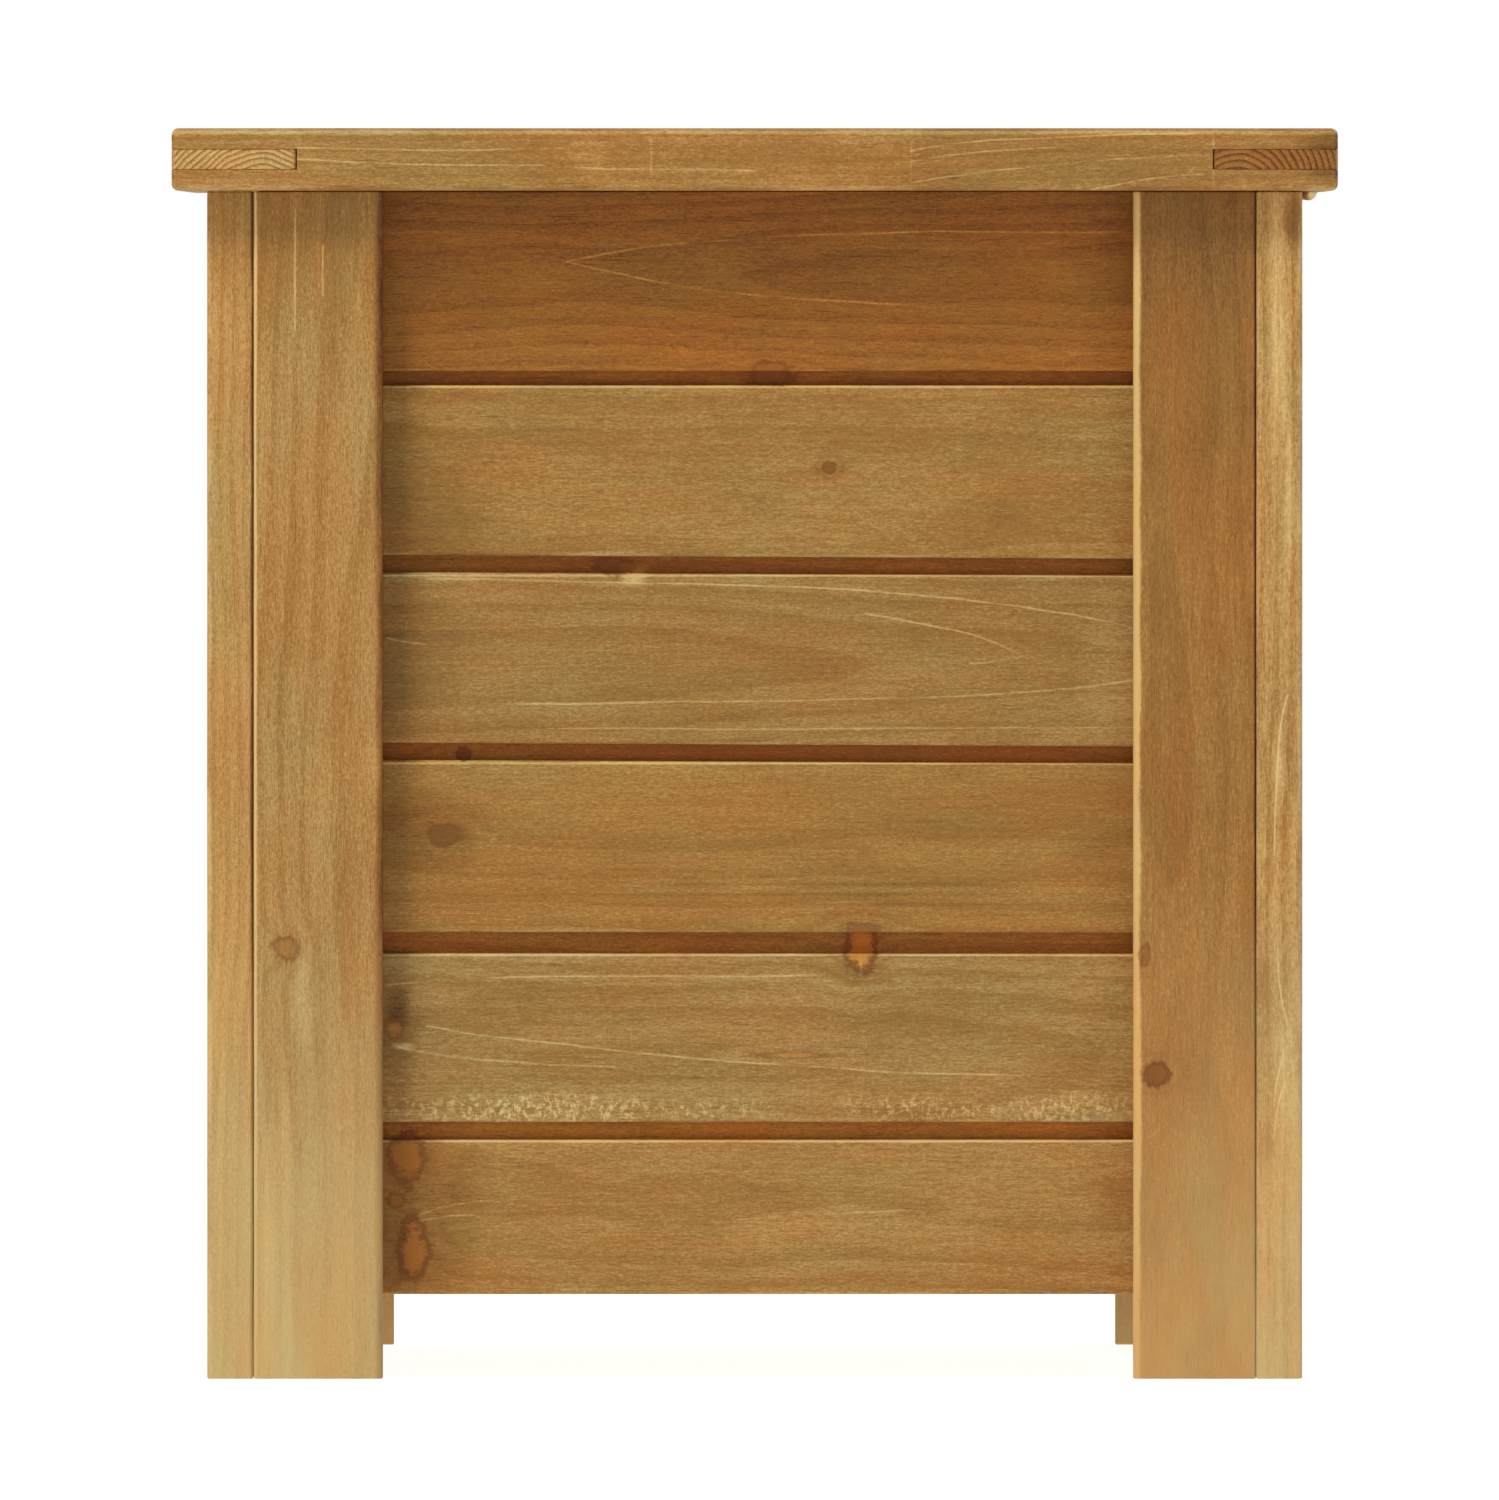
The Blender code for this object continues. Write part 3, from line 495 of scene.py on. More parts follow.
def sweep(board, section, length, end_round=0.0, slopes=None, seed=0.0):
    """A board's mesh: the section run along it, with planing waves and worn arrises.

    slopes is (low, low_drop, high, high_drop): how the section's low and high edges drop
    for each metre along the board.
    """
    across = [point[0] for point in section]
    deep = [point[1] for point in section]
    middle = Vector(((min(across) + max(across)) / 2, (min(deep) + max(deep)) / 2))
    half = Vector(((max(across) - min(across)) / 2, (max(deep) - min(deep)) / 2))
    vertices, wears, faces = [], [], []
    runs = stations(length, end_round)
    for along, inset in runs:
        shrink = Vector((1 - inset / half.x, 1 - inset / half.y))
        for v, w, wear in section:
            v = middle.x + (v - middle.x) * shrink.x
            w = middle.y + (w - middle.y) * shrink.y
            if slopes:
                low, low_drop, high, high_drop = slopes
                share = min(max((v - low) / (high - low), 0.0), 1.0)
                v -= along * (low_drop + (high_drop - low_drop) * share)
            at_end = 1.0 if inset else 0.0
            wear = max(wear, at_end * 0.6)
            spot = Vector((along * 11 + seed, v * 30, w * 30))
            wave = (noise(spot) + 1.0) * WAVE  # never proud of the CAD face
            dent = max(0.0, noise(spot * 2.3) - 0.15) + max(0.0, noise(spot * 6.1) - 0.35) * 1.6
            inward = Vector((middle.x - v, middle.y - w))
            toward = Vector((math.copysign(1.0, inward.x), math.copysign(1.0, inward.y)))
            push = wear * dent * ARRIS_WEAR
            vertices.append(board.world(along, v + toward.x * push, w + toward.y * push + wave))
            wears.append(wear)
    size = len(section)
    for row in range(len(runs) - 1):
        for column in range(size):
            a = row * size + column
            b = row * size + (column + 1) % size
            faces.append((a, b, b + size, a + size))
    last = (len(runs) - 1) * size
    faces.append(tuple(range(size)))
    faces.append(tuple(last + column for column in reversed(range(size))))
    mesh = bpy.data.meshes.new(board.name)
    mesh.from_pydata(vertices, [], faces)
    mesh.attributes.new("wear", "FLOAT", "POINT").data.foreach_set("value", wears)
    return mesh


def finish_mesh(mesh):
    """Points every face outwards, and shades the roundings smooth and the flats flat."""
    bm = bmesh.new()
    bm.from_mesh(mesh)
    bmesh.ops.recalc_face_normals(bm, faces=bm.faces)
    bm.to_mesh(mesh)
    bm.free()
    mesh.shade_smooth()
    mesh.set_sharp_from_angle(angle=math.radians(38))


def in_scene(name, data):
    made = bpy.data.objects.new(name, data)
    bpy.context.scene.collection.objects.link(made)
    return made


def show(name, mesh, material, body, nodes=()):
    """Puts a mesh in the scene as a piece that rides on a body and stands for CAD nodes."""
    made = in_scene(name, mesh)
    mesh.materials.clear()
    mesh.materials.append(material)
    made.modifiers.new("flats", "WEIGHTED_NORMAL").keep_sharp = True
    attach(made, body)
    if nodes:
        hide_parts(*nodes)
    return made


def combined(mesh, tool, operation="DIFFERENCE"):
    """The mesh with a bmesh tool cut from it or, for UNION, joined to it."""
    target = in_scene("target", mesh)
    tool_mesh = bpy.data.meshes.new("tool")
    bmesh.ops.recalc_face_normals(tool, faces=tool.faces)
    tool.to_mesh(tool_mesh)
    tool.free()
    other = in_scene("tool", tool_mesh)
    boolean = target.modifiers.new("combine", "BOOLEAN")
    boolean.solver = "EXACT"
    boolean.operation = operation
    boolean.object = other
    graph = bpy.context.evaluated_depsgraph_get()
    result = bpy.data.meshes.new_from_object(target.evaluated_get(graph))
    bpy.data.objects.remove(target)
    bpy.data.objects.remove(other)
    return result


def carve(mesh, boxes):
    """Cuts (low, high) boxes out of a mesh and returns the result."""
    bm = bmesh.new()
    for low, high in boxes:
        low, high = Vector(low), Vector(high)
        size = Matrix.Diagonal((*(high - low), 1.0))
        bmesh.ops.create_cube(bm, size=1.0, matrix=Matrix.Translation((low + high) / 2) @ size)
    return combined(mesh, bm)


def grain_of(seed, **changes):
    """One board's grain. Every board has its own seed, and so its own place in the log."""
    vary = [noise(Vector((seed * 3.71, 1.3 + k * 5.1, 7.7))) for k in range(6)]
    grain = {
        "seed": seed,
        "pith": (0.030 * vary[0], 0.055 + 0.030 * vary[1]),
        "taper": 0.012 + 0.008 * vary[2],
        "bend": 0.020,
        "spacing": 0.0052 + 0.002 * vary[3],
        "rings": 0.07,
        "tone": 0.52 + 0.07 * vary[4],
        "streak": 0.10,
        "blotch": 0.17,
        "worn": 0.20,
        "end_tone": 0.02,
        "feet": 0.0,
        "gap_stain_and_shade_below": 0.0,
        "lines": (),
        "patches": (),
        "sparkle": (),
        "knots": (),
        "on_edge": False,
        "heart": KNOT_HEART,
        "halo": KNOT_HALO,
        "tint": (1.0, 1.0, 1.0),
    }
    grain.update(changes)
    return grain


def square_section(width, thickness, radii):
    """A rectangular section. radii: face's low and high corner, then the back's high and low."""
    a, b, c, d = radii
    half = width / 2
    return rounded(((-half, 0, a), (half, 0, b), (half, thickness, c), (-half, thickness, d)))


def show_board(name, board, mesh, body, slot, seed, **changes):
    """Shows a finished board for its node, with the seed's own grain and these changes to it."""
    finish_mesh(mesh)
    material = pine_material(board, grain_of(seed, **changes))
    show(name, mesh, material, body, [board.name])


def plain_board(name, node, axes, radii, body, slot, seed, tone, end_round=0.0, cuts=(), **changes):
    """A board that fills its node's box but for its rounded edges and the boxes cut from it."""
    origin, length, width, thickness = extents(node, axes)
    board = Board(node, origin, axes)
    mesh = sweep(board, square_section(width, thickness, radii), length, end_round, seed=seed)
    if cuts:
        mesh = carve(mesh, cuts)
    show_board(name, board, mesh, body, slot, seed, tone=tone, **changes)


# ---- corner posts ---------------------------------------------------------------------


LID_SHADE = (0.235, 0.0, 0.055, 0.30, -0.11)  # painted shade: darker just under the lid, where its shadow falls

POST_GRAIN = {
    # Photographed end, from the front: edge of the face board, end board, end board, edge
    "front_stile_right": {
        "tone": 0.655, "pith": (0.01, 0.060), "blotch": 0.13, "tint": (0.97, 0.98, 0.95),
        "on_edge": True,
        # Painted shade under the lid (LID_SHADE), the lower part paler (partly worn stain, partly painted
        # bounce light from the floor), and a dark joint line
        "patches": (
            LID_SHADE, (-0.2350, 0.0, 0.200, 0.30, 0.10), (0.0, 0.0186, WHOLE, 0.0012, -0.75),
        ),
    },
    "right_end_stile_front": {
        "tone": 0.605, "pith": (0.030, 0.045), "spacing": 0.0060, "blotch": 0.14,
        "tint": (0.93, 0.95, 0.94),
        "lines": (
            (0.2300, 0.1800, -0.0092, 0.0004, 0.02, 0.8), (0.2160, 0.1950, 0.0020, -0.0003, 0.01, 0.7),
        ),
        # Painted shade under the lid (LID_SHADE) and along the inner rounding, which faces away from the
        # light; a bright line along the outer edge; the lower part paler, partly worn stain and partly
        # painted bounce light from the floor; then pale streaks and marks
        "patches": (
            LID_SHADE, (0.0, 0.0256, WHOLE, 0.0026, -0.42), (0.0, -0.0254, WHOLE, 0.0009, 0.75),
            (-0.2350, 0.0, 0.130, 0.30, 0.08), (-0.1900, -0.0190, 0.050, 0.0035, 0.20),
            (-0.2150, -0.0120, 0.040, 0.0025, 0.14), (-0.0850, -0.0060, 0.022, 0.0060, 0.12),
            (-0.1500, -0.0130, 0.030, 0.0030, 0.10),
        ),
        "knots": ((-0.0656, -0.0131, 0.0044, 0.0046, 0.60),), "heart": (0.330, 0.130, 0.0200),
    },
    "right_end_stile_back": {
        "tone": 0.49, "pith": (-0.012, 0.055), "tint": (0.93, 0.86, 0.76),
        "lines": ((0.2300, -0.2360, -0.0236, 0.0002, 0.05, 0.9),),
        # Painted shade under the lid (LID_SHADE, and darker still towards the top), a painted highlight
        # along the inner rounding, which faces the light, and a dark joint line at the outer edge
        "patches": (
            LID_SHADE, (0.1900, 0.0, 0.110, 0.30, -0.07), (0.0, -0.0240, WHOLE, 0.0024, 1.00),
            (0.0, 0.0246, WHOLE, 0.0009, -0.75),
        ),
        "knots": ((-0.1155, -0.0150, 0.0042, 0.0046, 0.8), (-0.0678, -0.0198, 0.0036, 0.0022, 0.5)),
    },
    "back_stile_right": {
        "tone": 0.67, "pith": (0.034, -0.02), "blotch": 0.30, "rings": 0.10, "on_edge": True,
        "patches": (
            (0.2260, 0.0030, 0.012, 0.0050, -0.26), (0.1850, 0.0095, 0.056, 0.0034, 0.24),
            (0.1150, 0.0050, 0.030, 0.0022, 0.16), (0.0, 0.0200, WHOLE, 0.0010, 0.22),
            (0.0090, 0.0105, 0.030, 0.0085, -0.20), (0.0060, 0.0100, 0.022, 0.0040, 0.26),
            (-0.0800, 0.0160, 0.030, 0.0036, -0.16), (-0.1150, 0.0060, 0.036, 0.0040, 0.20),
            (-0.1450, 0.0150, 0.012, 0.0040, -0.18),
        ),
        "lines": (
            (0.0360, -0.0300, 0.0060, 0.0060, 0.020, 0.9), (-0.1000, -0.1300, 0.0040, 0.0080, 0.014, 0.9),
            (-0.1080, -0.1420, 0.0020, 0.0110, 0.018, 0.8), (-0.0980, -0.0600, 0.0050, 0.0060, 0.016, 0.8),
        ),
    },
}


def posts():
    seed = 11.0
    for side, end_axis in (("left", "+X"), ("right", "-X")):
        for face, depth_axis in (("front", "+Y"), ("back", "-Y")):
            outward = -1 if face == "front" else 1
            for node, across_axis, inward_axis in (
                (f"{face}_stile_{side}", "+X", depth_axis),
                (f"{side}_end_stile_{face}", "+Y", end_axis),
            ):
                seed += 1.7
                axes = ("+Z", across_axis, inward_axis)
                origin, length, width, thickness = extents(node, axes)
                if across_axis == "+X":
                    low, high = POST_ROUND, POST_ROUND
                    thickness -= JOINT_SHIFT
                else:
                    trim = STILE_TRIM if node == "right_end_stile_back" else 0.0
                    origin.y += outward * (JOINT_SHIFT + trim) / 2
                    width += JOINT_SHIFT - trim
                    joined, free = HIDDEN_ROUND, POST_ROUND
                    low, high = (joined, free) if face == "front" else (free, joined)
                origin.z += TOP_RISE / 2
                length += TOP_RISE
                board = Board(node, origin, axes)
                section = square_section(width, thickness, (low, high, HIDDEN_ROUND, HIDDEN_ROUND))
                mesh = sweep(board, section, length, INNER_ROUND, seed=seed)
                # Every post gets painted shade under the lid, and paler feet: partly worn stain, partly
                # painted bounce light from the floor
                grain = {"tone": 0.58, "feet": FEET_FADE - length / 2, "patches": (LID_SHADE,)}
                grain.update(POST_GRAIN.get(node, {}))
                show_board("post_" + node, board, mesh, "box", "post_wood", seed, **grain)


def hinge_rail():
    radii = (POST_ROUND, INNER_ROUND, HIDDEN_ROUND, HIDDEN_ROUND)
    plain_board(
        "rail_for_hinges", "hinge_rail", ("+X", "+Z", "-Y"), radii, "box", "post_wood", 53.0, 0.53,
        cuts=leaf_gains(),
    )


def leaf_gains():
    """The pockets in the hinge rail's top that the fixed leaves lie in."""
    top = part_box("hinge_rail")[1].z
    pockets = []
    for side in ("left", "right"):
        low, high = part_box(f"hinge_{side}_fixed_leaf")
        pockets.append((
            (low.x - JOINT_GAP, low.y - JOINT_GAP, top - LEAF_THICKNESS - JOINT_GAP),
            (high.x + JOINT_GAP, high.y + PAST, top + PAST),
        ))
    return pockets


# ---- matchboard -----------------------------------------------------------------------


def match_corners(low, high, thickness, tongue, groove):
    """The corners of a matchboard's section whose face runs from low to high."""
    near = (thickness - TONGUE_THICKNESS) / 2
    far = near + TONGUE_THICKNESS
    corners = [(low, 0, BOARD_ROUND), (high, 0, BOARD_ROUND if tongue else HIDDEN_ROUND)]
    if tongue:
        tip = high + tongue + TONGUE_BITE
        corners += [
            (high, near, 0), (tip, near, HIDDEN_ROUND), (tip, far, HIDDEN_ROUND), (high, far, 0),
        ]
    corners += [(high, thickness, FINE_ROUND)]
    if not groove:
        return corners + [(low, thickness, FINE_ROUND)]
    back = low - groove + JOINT_GAP
    end = low + TONGUE_BITE + GROOVE_ROOM
    near, far = near - JOINT_GAP, far + JOINT_GAP
    return corners + [
        (back, thickness, FINE_ROUND), (back, far, 0), (end, far, 0), (end, near, 0), (low, near, 0),
    ]


WALL_AXES = {
    "front": ("+X", "+Z", "+Y"),
    "right_end": ("+Y", "+Z", "-X"),
    "back": ("+X", "+Z", "-Y"),
    "left_end": ("+Y", "+Z", "+X"),
}

# The photographed end, from the top. Places are from the middle of the board's face.
END_BOARD_GRAIN = {
    1: {
        # Under the lid: the darker, redder tone is partly the board's own stain and partly painted shade,
        # and the patch along the top is painted shade
        "tone": 0.40, "pith": (0.003, 0.030), "taper": -0.017, "rings": 0.09,
        "tint": (1.05, 0.83, 0.47), "patches": ((0.0, 0.034, 0.60, 0.030, -0.10),),
        "lines": (
            (-0.0754, 0.1530, 0.0074, 0.0125, 0.045, 1.0), (-0.0750, 0.0640, 0.0074, -0.0200, 0.070, 0.9),
            (-0.1469, -0.0822, 0.0190, 0.0016, 0.050, 0.45),
        ),
        "knots": ((0.0065, -0.0355, 0.0075, 0.0030, 0.7),), "heart": (0.270, 0.095, 0.014),
    },
    2: {
        "tone": 0.545, "pith": (-0.01, 0.075), "tint": (0.88, 0.90, 0.82),
        "patches": ((-0.135, -0.01, 0.028, 0.036, -0.13), (0.0290, 0.0010, 0.010, 0.0040, -0.07)),
        "knots": ((0.0300, 0.0015, 0.0026, 0.0022, 0.65), (0.0065, 0.0375, 0.0090, 0.0032, 0.6)),
    },
    3: {
        "tone": 0.532, "pith": (-0.004, 0.028), "taper": 0.020, "spacing": 0.0068,
        "tint": (0.84, 0.88, 0.88),
        "lines": (
            (0.1530, -0.1480, 0.0128, 0.0200, 0.085, 1.0), (0.1071, 0.0420, 0.0010, 0.0200, 0.035, 1.0),
            (0.1071, 0.0850, 0.0010, -0.0040, 0.015, 0.7), (-0.0115, 0.0200, 0.0234, -0.0057, 0.030, 0.5),
            (0.1530, -0.1040, -0.0084, -0.0095, 0.070, 0.8), (0.1530, -0.0930, -0.0268, -0.0012, 0.050, 0.8),
            (-0.1473, -0.1250, 0.0090, -0.0035, 0.012, 0.8),
        ),
        "patches": (
            (-0.140, 0.0060, 0.022, 0.030, -0.13), (-0.095, -0.0150, 0.045, 0.011, 0.07),
            (-0.0485, 0.0335, 0.0060, 0.0046, 0.42), (0.1420, 0.0, 0.012, 0.040, 0.08),
        ),
        "knots": ((-0.0560, 0.0372, 0.0080, 0.0032, 0.6),),
    },
    4: {
        "tone": 0.52, "pith": (0.02, 0.080), "tint": (0.91, 0.905, 0.78),
        "patches": (
            (-0.1300, 0.0060, 0.022, 0.0160, -0.12), (0.1350, -0.0020, 0.014, 0.0045, -0.09),
            (0.040, -0.0150, 0.090, 0.0010, -0.12), (0.010, -0.0190, 0.110, 0.0008, -0.12),
            (0.080, -0.0230, 0.060, 0.0008, -0.10),
        ),
        "knots": (
            (-0.1240, 0.0050, 0.0062, 0.0042, 0.62), (-0.1165, 0.0370, 0.0026, 0.0024, 0.95),
            (0.0424, -0.0360, 0.0070, 0.0050, 0.5),
        ),
        "heart": (0.150, 0.045, 0.0075),
    },
    5: {
        "tone": 0.548, "pith": (-0.006, 0.040), "taper": 0.015, "blotch": 0.22,
        "tint": (0.88, 0.95, 1.0),
        "lines": (
            (-0.1473, 0.0300, 0.0214, 0.0036, 0.035, 0.8), (-0.1313, 0.1090, 0.0050, -0.0260, 0.150, 0.9),
            (-0.1425, -0.0500, -0.0038, -0.0090, 0.040, 0.7),
        ),
        # The thin bright line by the orange knot (along 0.0424, across 0.0310) is a painted highlight
        "patches": (
            (-0.0600, -0.0270, 0.085, 0.0070, 0.05), (0.1200, -0.0270, 0.040, 0.0070, 0.05),
            (0.0424, 0.0310, 0.0007, 0.0050, 0.90), (-0.1450, 0.0080, 0.010, 0.024, -0.14),
            (-0.1430, 0.0125, 0.0050, 0.0090, -0.24), (-0.1410, -0.0034, 0.0050, 0.0016, 0.35),
            (0.0440, 0.0240, 0.016, 0.0050, -0.10), (-0.0700, 0.0160, 0.045, 0.0045, -0.06),
        ),
        "knots": (
            (0.0424, 0.0365, 0.0058, 0.0100, 0.9), (0.0145, -0.0070, 0.0110, 0.0012, 0.5),
            (-0.1441, 0.0037, 0.0036, 0.0036, 0.45),
        ),
        "sparkle": (
            (-0.0900, -0.0285, 0.062, 0.0065, 0.55), (-0.0150, -0.0285, 0.030, 0.0060, 0.34),
            (0.0600, -0.0285, 0.034, 0.0055, 0.36), (0.1250, -0.0280, 0.032, 0.0070, 0.40),
        ),
        "heart": KNOT_ORANGE,
    },
    6: {
        "tone": 0.548, "pith": (0.012, 0.060), "tint": (0.955, 0.95, 0.90),
        "lines": (
            (-0.0075, 0.0660, -0.0008, 0.0060, 0.080, 0.5), (-0.1353, -0.1041, 0.0005, 0.0070, 0.016, 0.7),
            (-0.1353, -0.1120, -0.0015, 0.0030, 0.012, 0.6),
        ),
        "knots": (
            (-0.1390, 0.0240, 0.0068, 0.0098, 0.85), (-0.1363, -0.0130, 0.0058, 0.0120, 0.90),
            (-0.1433, 0.0065, 0.0032, 0.0026, 0.60),
        ),
        "patches": ((-0.135, 0.005, 0.026, 0.050, -0.16), (0.0, 0.0344, WHOLE, 0.0044, 0.17)),
        "heart": KNOT_RED,
    },
}


WALL_KNOTS = {
    "front_board_1": {"knots": ((-0.21, 0.008, 0.0070, 0.0055, 0.9),)},
    "front_board_2": {"knots": ((0.17, -0.012, 0.0060, 0.0050, 0.8),), "rings": 0.16},
    "front_board_3": {"knots": ((-0.33, 0.004, 0.0080, 0.0060, 0.9), (0.05, 0.018, 0.003, 0.003, 0.8))},
    "front_board_4": {"rings": 0.16, "pith": (0.004, 0.030), "taper": 0.016},
    "front_board_5": {"knots": ((0.28, 0.002, 0.0090, 0.0065, 0.9), (-0.11, -0.016, 0.004, 0.003, 0.7))},
    "front_board_6": {"knots": ((-0.26, 0.010, 0.0060, 0.0055, 0.8),)},
    "back_board_2": {"knots": ((0.12, 0.010, 0.0080, 0.0060, 0.9),)},
    "back_board_3": {"rings": 0.16, "pith": (-0.006, 0.032), "taper": -0.014},
    "back_board_5": {"knots": ((-0.19, -0.008, 0.0090, 0.0070, 0.9),)},
    "left_end_board_2": {"knots": ((-0.06, 0.006, 0.0060, 0.0050, 0.9),)},
    "left_end_board_4": {"knots": ((0.09, -0.010, 0.0070, 0.0050, 0.8),), "rings": 0.16},
}


def wall_board(wall, number, seed):
    node = f"{wall}_board_{number}"
    axes = WALL_AXES[wall]
    origin, length, _, thickness = extents(node, axes)
    low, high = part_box(node)
    has_tongue, has_groove = number > 1, number < WALL_BOARDS
    bottom = low.z + (SHADOW_GAP - JOINT_GAP if has_groove else 0.0)
    top = high.z - (SHADOW_GAP + TONGUE_BITE) if has_tongue else high.z + TOP_RISE
    tongue = SHADOW_GAP if has_tongue else 0
    groove = SHADOW_GAP if has_groove else 0
    top_drop = bottom_drop = 0.0
    if wall == "right_end":
        if has_tongue:
            upper, top, top_drop = RIGHT_END_GAPS[number - 2]
            tongue = upper - top
        if has_groove:
            bottom, lower, bottom_drop = RIGHT_END_GAPS[number - 1]
            groove = bottom - lower
    origin.z = (bottom + top) / 2
    half = (top - bottom) / 2
    board = Board(node, origin, axes)
    section = rounded(match_corners(-half, half, thickness, tongue, groove))
    slopes = (-half, bottom_drop, half, top_drop)
    mesh = sweep(board, section, length, seed=seed, slopes=slopes)
    grain = dict(END_BOARD_GRAIN[number] if wall == "right_end" else WALL_KNOTS.get(node, {}))
    # Painted shade and gathered stain in the shadow gaps; the top board has no gap above its face, so its
    # top edge is left out
    grain["gap_stain_and_shade_below"] = 1.0 if has_tongue else half - 0.003
    if has_tongue:
        # A paler line along the top arris, below the shadow gap: partly edge wear and partly painted
        # highlight from the light above
        top_edge_wear_and_highlight = (0.0, half - 0.0007, WHOLE, 0.0005, 0.34)
        grain["patches"] = (*grain.get("patches", ()), top_edge_wear_and_highlight)
    show_board("matchboard_" + node, board, mesh, "box", "wall_wood", seed, **grain)


def walls():
    seed = 101.0
    for wall in WALL_AXES:
        for number in range(1, WALL_BOARDS + 1):
            seed += 2.3
            wall_board(wall, number, seed)


# ---- lid ------------------------------------------------------------------------------

LID_GRAIN = {
    "lid_rail_right": {
        "tone": 0.52, "pith": (0.010, -0.060), "rings": 0.05, "blotch": 0.22,
        "tint": (0.95, 0.965, 0.915), "on_edge": True,
        "lines": (
            (-0.1828, -0.0710, 0.0082, 0.0002, 0.03, 0.9), (-0.1828, -0.0806, 0.0129, 0.0026, 0.08, 0.9),
            (-0.0694, 0.0025, 0.0158, 0.0010, 0.02, 0.7), (0.0624, 0.1800, 0.0093, -0.0080, 0.045, 0.9),
            (0.0624, 0.1230, 0.0133, -0.0085, 0.055, 0.7), (0.0636, 0.1810, 0.0218, -0.0150, 0.080, 0.9),
            (0.1343, 0.1810, 0.0246, -0.0080, 0.030, 0.7),
        ),
        # The pale line along the top arris, 0.0019 below the top, is partly edge wear and partly a painted
        # highlight
        "patches": (
            (0.0624, 0.0125, 0.0006, 0.013, 0.10), (0.1832, 0.0125, 0.0006, 0.014, 0.16),
            (-0.0414, 0.0120, 0.0006, 0.010, 0.14), (-0.0660, 0.0110, 0.009, 0.008, 0.09),
            (0.0460, 0.0125, 0.017, 0.014, 0.07), (0.1250, 0.0125, 0.120, 0.040, -0.06),
            (0.2320, 0.0125, 0.015, 0.0110, -0.36), (0.0, 0.0019, WHOLE, 0.0009, 0.18),
        ),
    },
    "lid_rail_front": {
        "tone": 0.66, "pith": (0.012, 0.040), "spacing": 0.0022, "taper": 0.004, "end_tone": 0.10,
    },
    "lid_rail_back": {
        "tone": 0.52, "pith": (-0.018, 0.034), "spacing": 0.0026, "taper": 0.004,
        "tint": (1.02, 0.87, 0.70), "end_tone": -0.13,
    },
}


LID_BOARD_GRAIN = {
    1: {"knots": ((-0.22, 0.008, 0.0080, 0.0060, 0.9),)},
    2: {"rings": 0.16, "pith": (0.004, 0.032), "taper": 0.016},
    3: {"knots": ((0.16, -0.010, 0.0070, 0.0055, 0.9), (-0.31, 0.012, 0.0040, 0.0035, 0.8))},
    4: {"rings": 0.16},
    5: {"knots": ((0.04, 0.006, 0.0090, 0.0065, 0.85),)},
}


def lid_rails():
    """The lid's frame: the side rails' ends are slotted right through for the others' tenons."""
    low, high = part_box("lid_rail_right")
    top = high.z
    middle = top - (top - low.z) / 2
    tenon = (middle - TENON_THICKNESS / 2, middle + TENON_THICKNESS / 2)
    slot = (tenon[0] - SLOT_PLAY, tenon[1] + SLOT_PLAY)
    seed = 301.0
    for side, sign in (("left", -1), ("right", 1), ("front", -1), ("back", 1)):
        seed += 3.1
        node = f"lid_rail_{side}"
        has_tenons = side in ("front", "back")
        axes = ("+X", "+Y", "-Z") if has_tenons else ("+Y", "+X", "-Z")
        origin, length, width, thickness = extents(node, axes)
        board = Board(node, origin, axes)
        outer, inner = LID_ROUND, INNER_ROUND
        radii = (inner, outer, outer, inner) if sign > 0 else (outer, inner, inner, outer)
        mesh = sweep(board, square_section(width, thickness, radii), length, LID_ROUND, seed=seed)

        def cutter(along, across, heights):
            """A box's low and high corner, from its reaches along and across the rail."""
            return tuple(zip(*((along, across) if has_tenons else (across, along)), heights))

        centre = origin.y if has_tenons else origin.x
        whole_width = (centre - width / 2 - PAST, centre + width / 2 + PAST)
        groove = sorted((
            centre - sign * (width / 2 + PAST),
            centre - sign * (width / 2 - PANEL_TONGUE - GROOVE_ROOM),
        ))
        shoulder = length / 2 - LID_RAIL_WIDTH - SHOULDER_PLAY
        ends = [sorted((end * shoulder, end * (length / 2 + PAST))) for end in (-1, 1)]
        cheeks = ((top - 5 * PAST, tenon[0]), (tenon[1], top + PAST))
        heights = cheeks if has_tenons else (slot,)
        mesh = carve(mesh, [cutter(end, whole_width, height) for end in ends for height in heights])
        reach = shoulder if has_tenons else shoulder + PAST
        mesh = carve(mesh, [cutter((-reach, reach), groove, slot)])
        for pocket in hinge_pockets() if side == "back" else ():
            mesh = carve(mesh, [pocket])
        grain = {"tone": 0.52, **LID_GRAIN.get(node, {})}
        show_board("frame_" + node, board, mesh, "lid", "lid_wood", seed, **grain)


def hinge_pockets():
    """Pockets in the lid's back rail for the lid leaves and their knuckles."""
    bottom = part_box("lid_rail_back")[0].z
    pockets = []
    for side in ("left", "right"):
        low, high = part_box(f"hinge_{side}_lid_leaf")
        pin_low, pin_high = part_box(f"hinge_{side}_pin")
        pin = (pin_low + pin_high) / 2
        reach = KNUCKLE_RADIUS + 2 * JOINT_GAP
        pockets.append((
            (low.x - JOINT_GAP, low.y - JOINT_GAP, bottom - PAST),
            (high.x + JOINT_GAP, pin.y, bottom + LEAF_THICKNESS + JOINT_GAP),
        ))
        pockets.append((
            (pin_low.x - JOINT_GAP, pin.y - reach, bottom - PAST),
            (pin_high.x + JOINT_GAP, pin.y + reach, pin.z + reach),
        ))
    return pockets


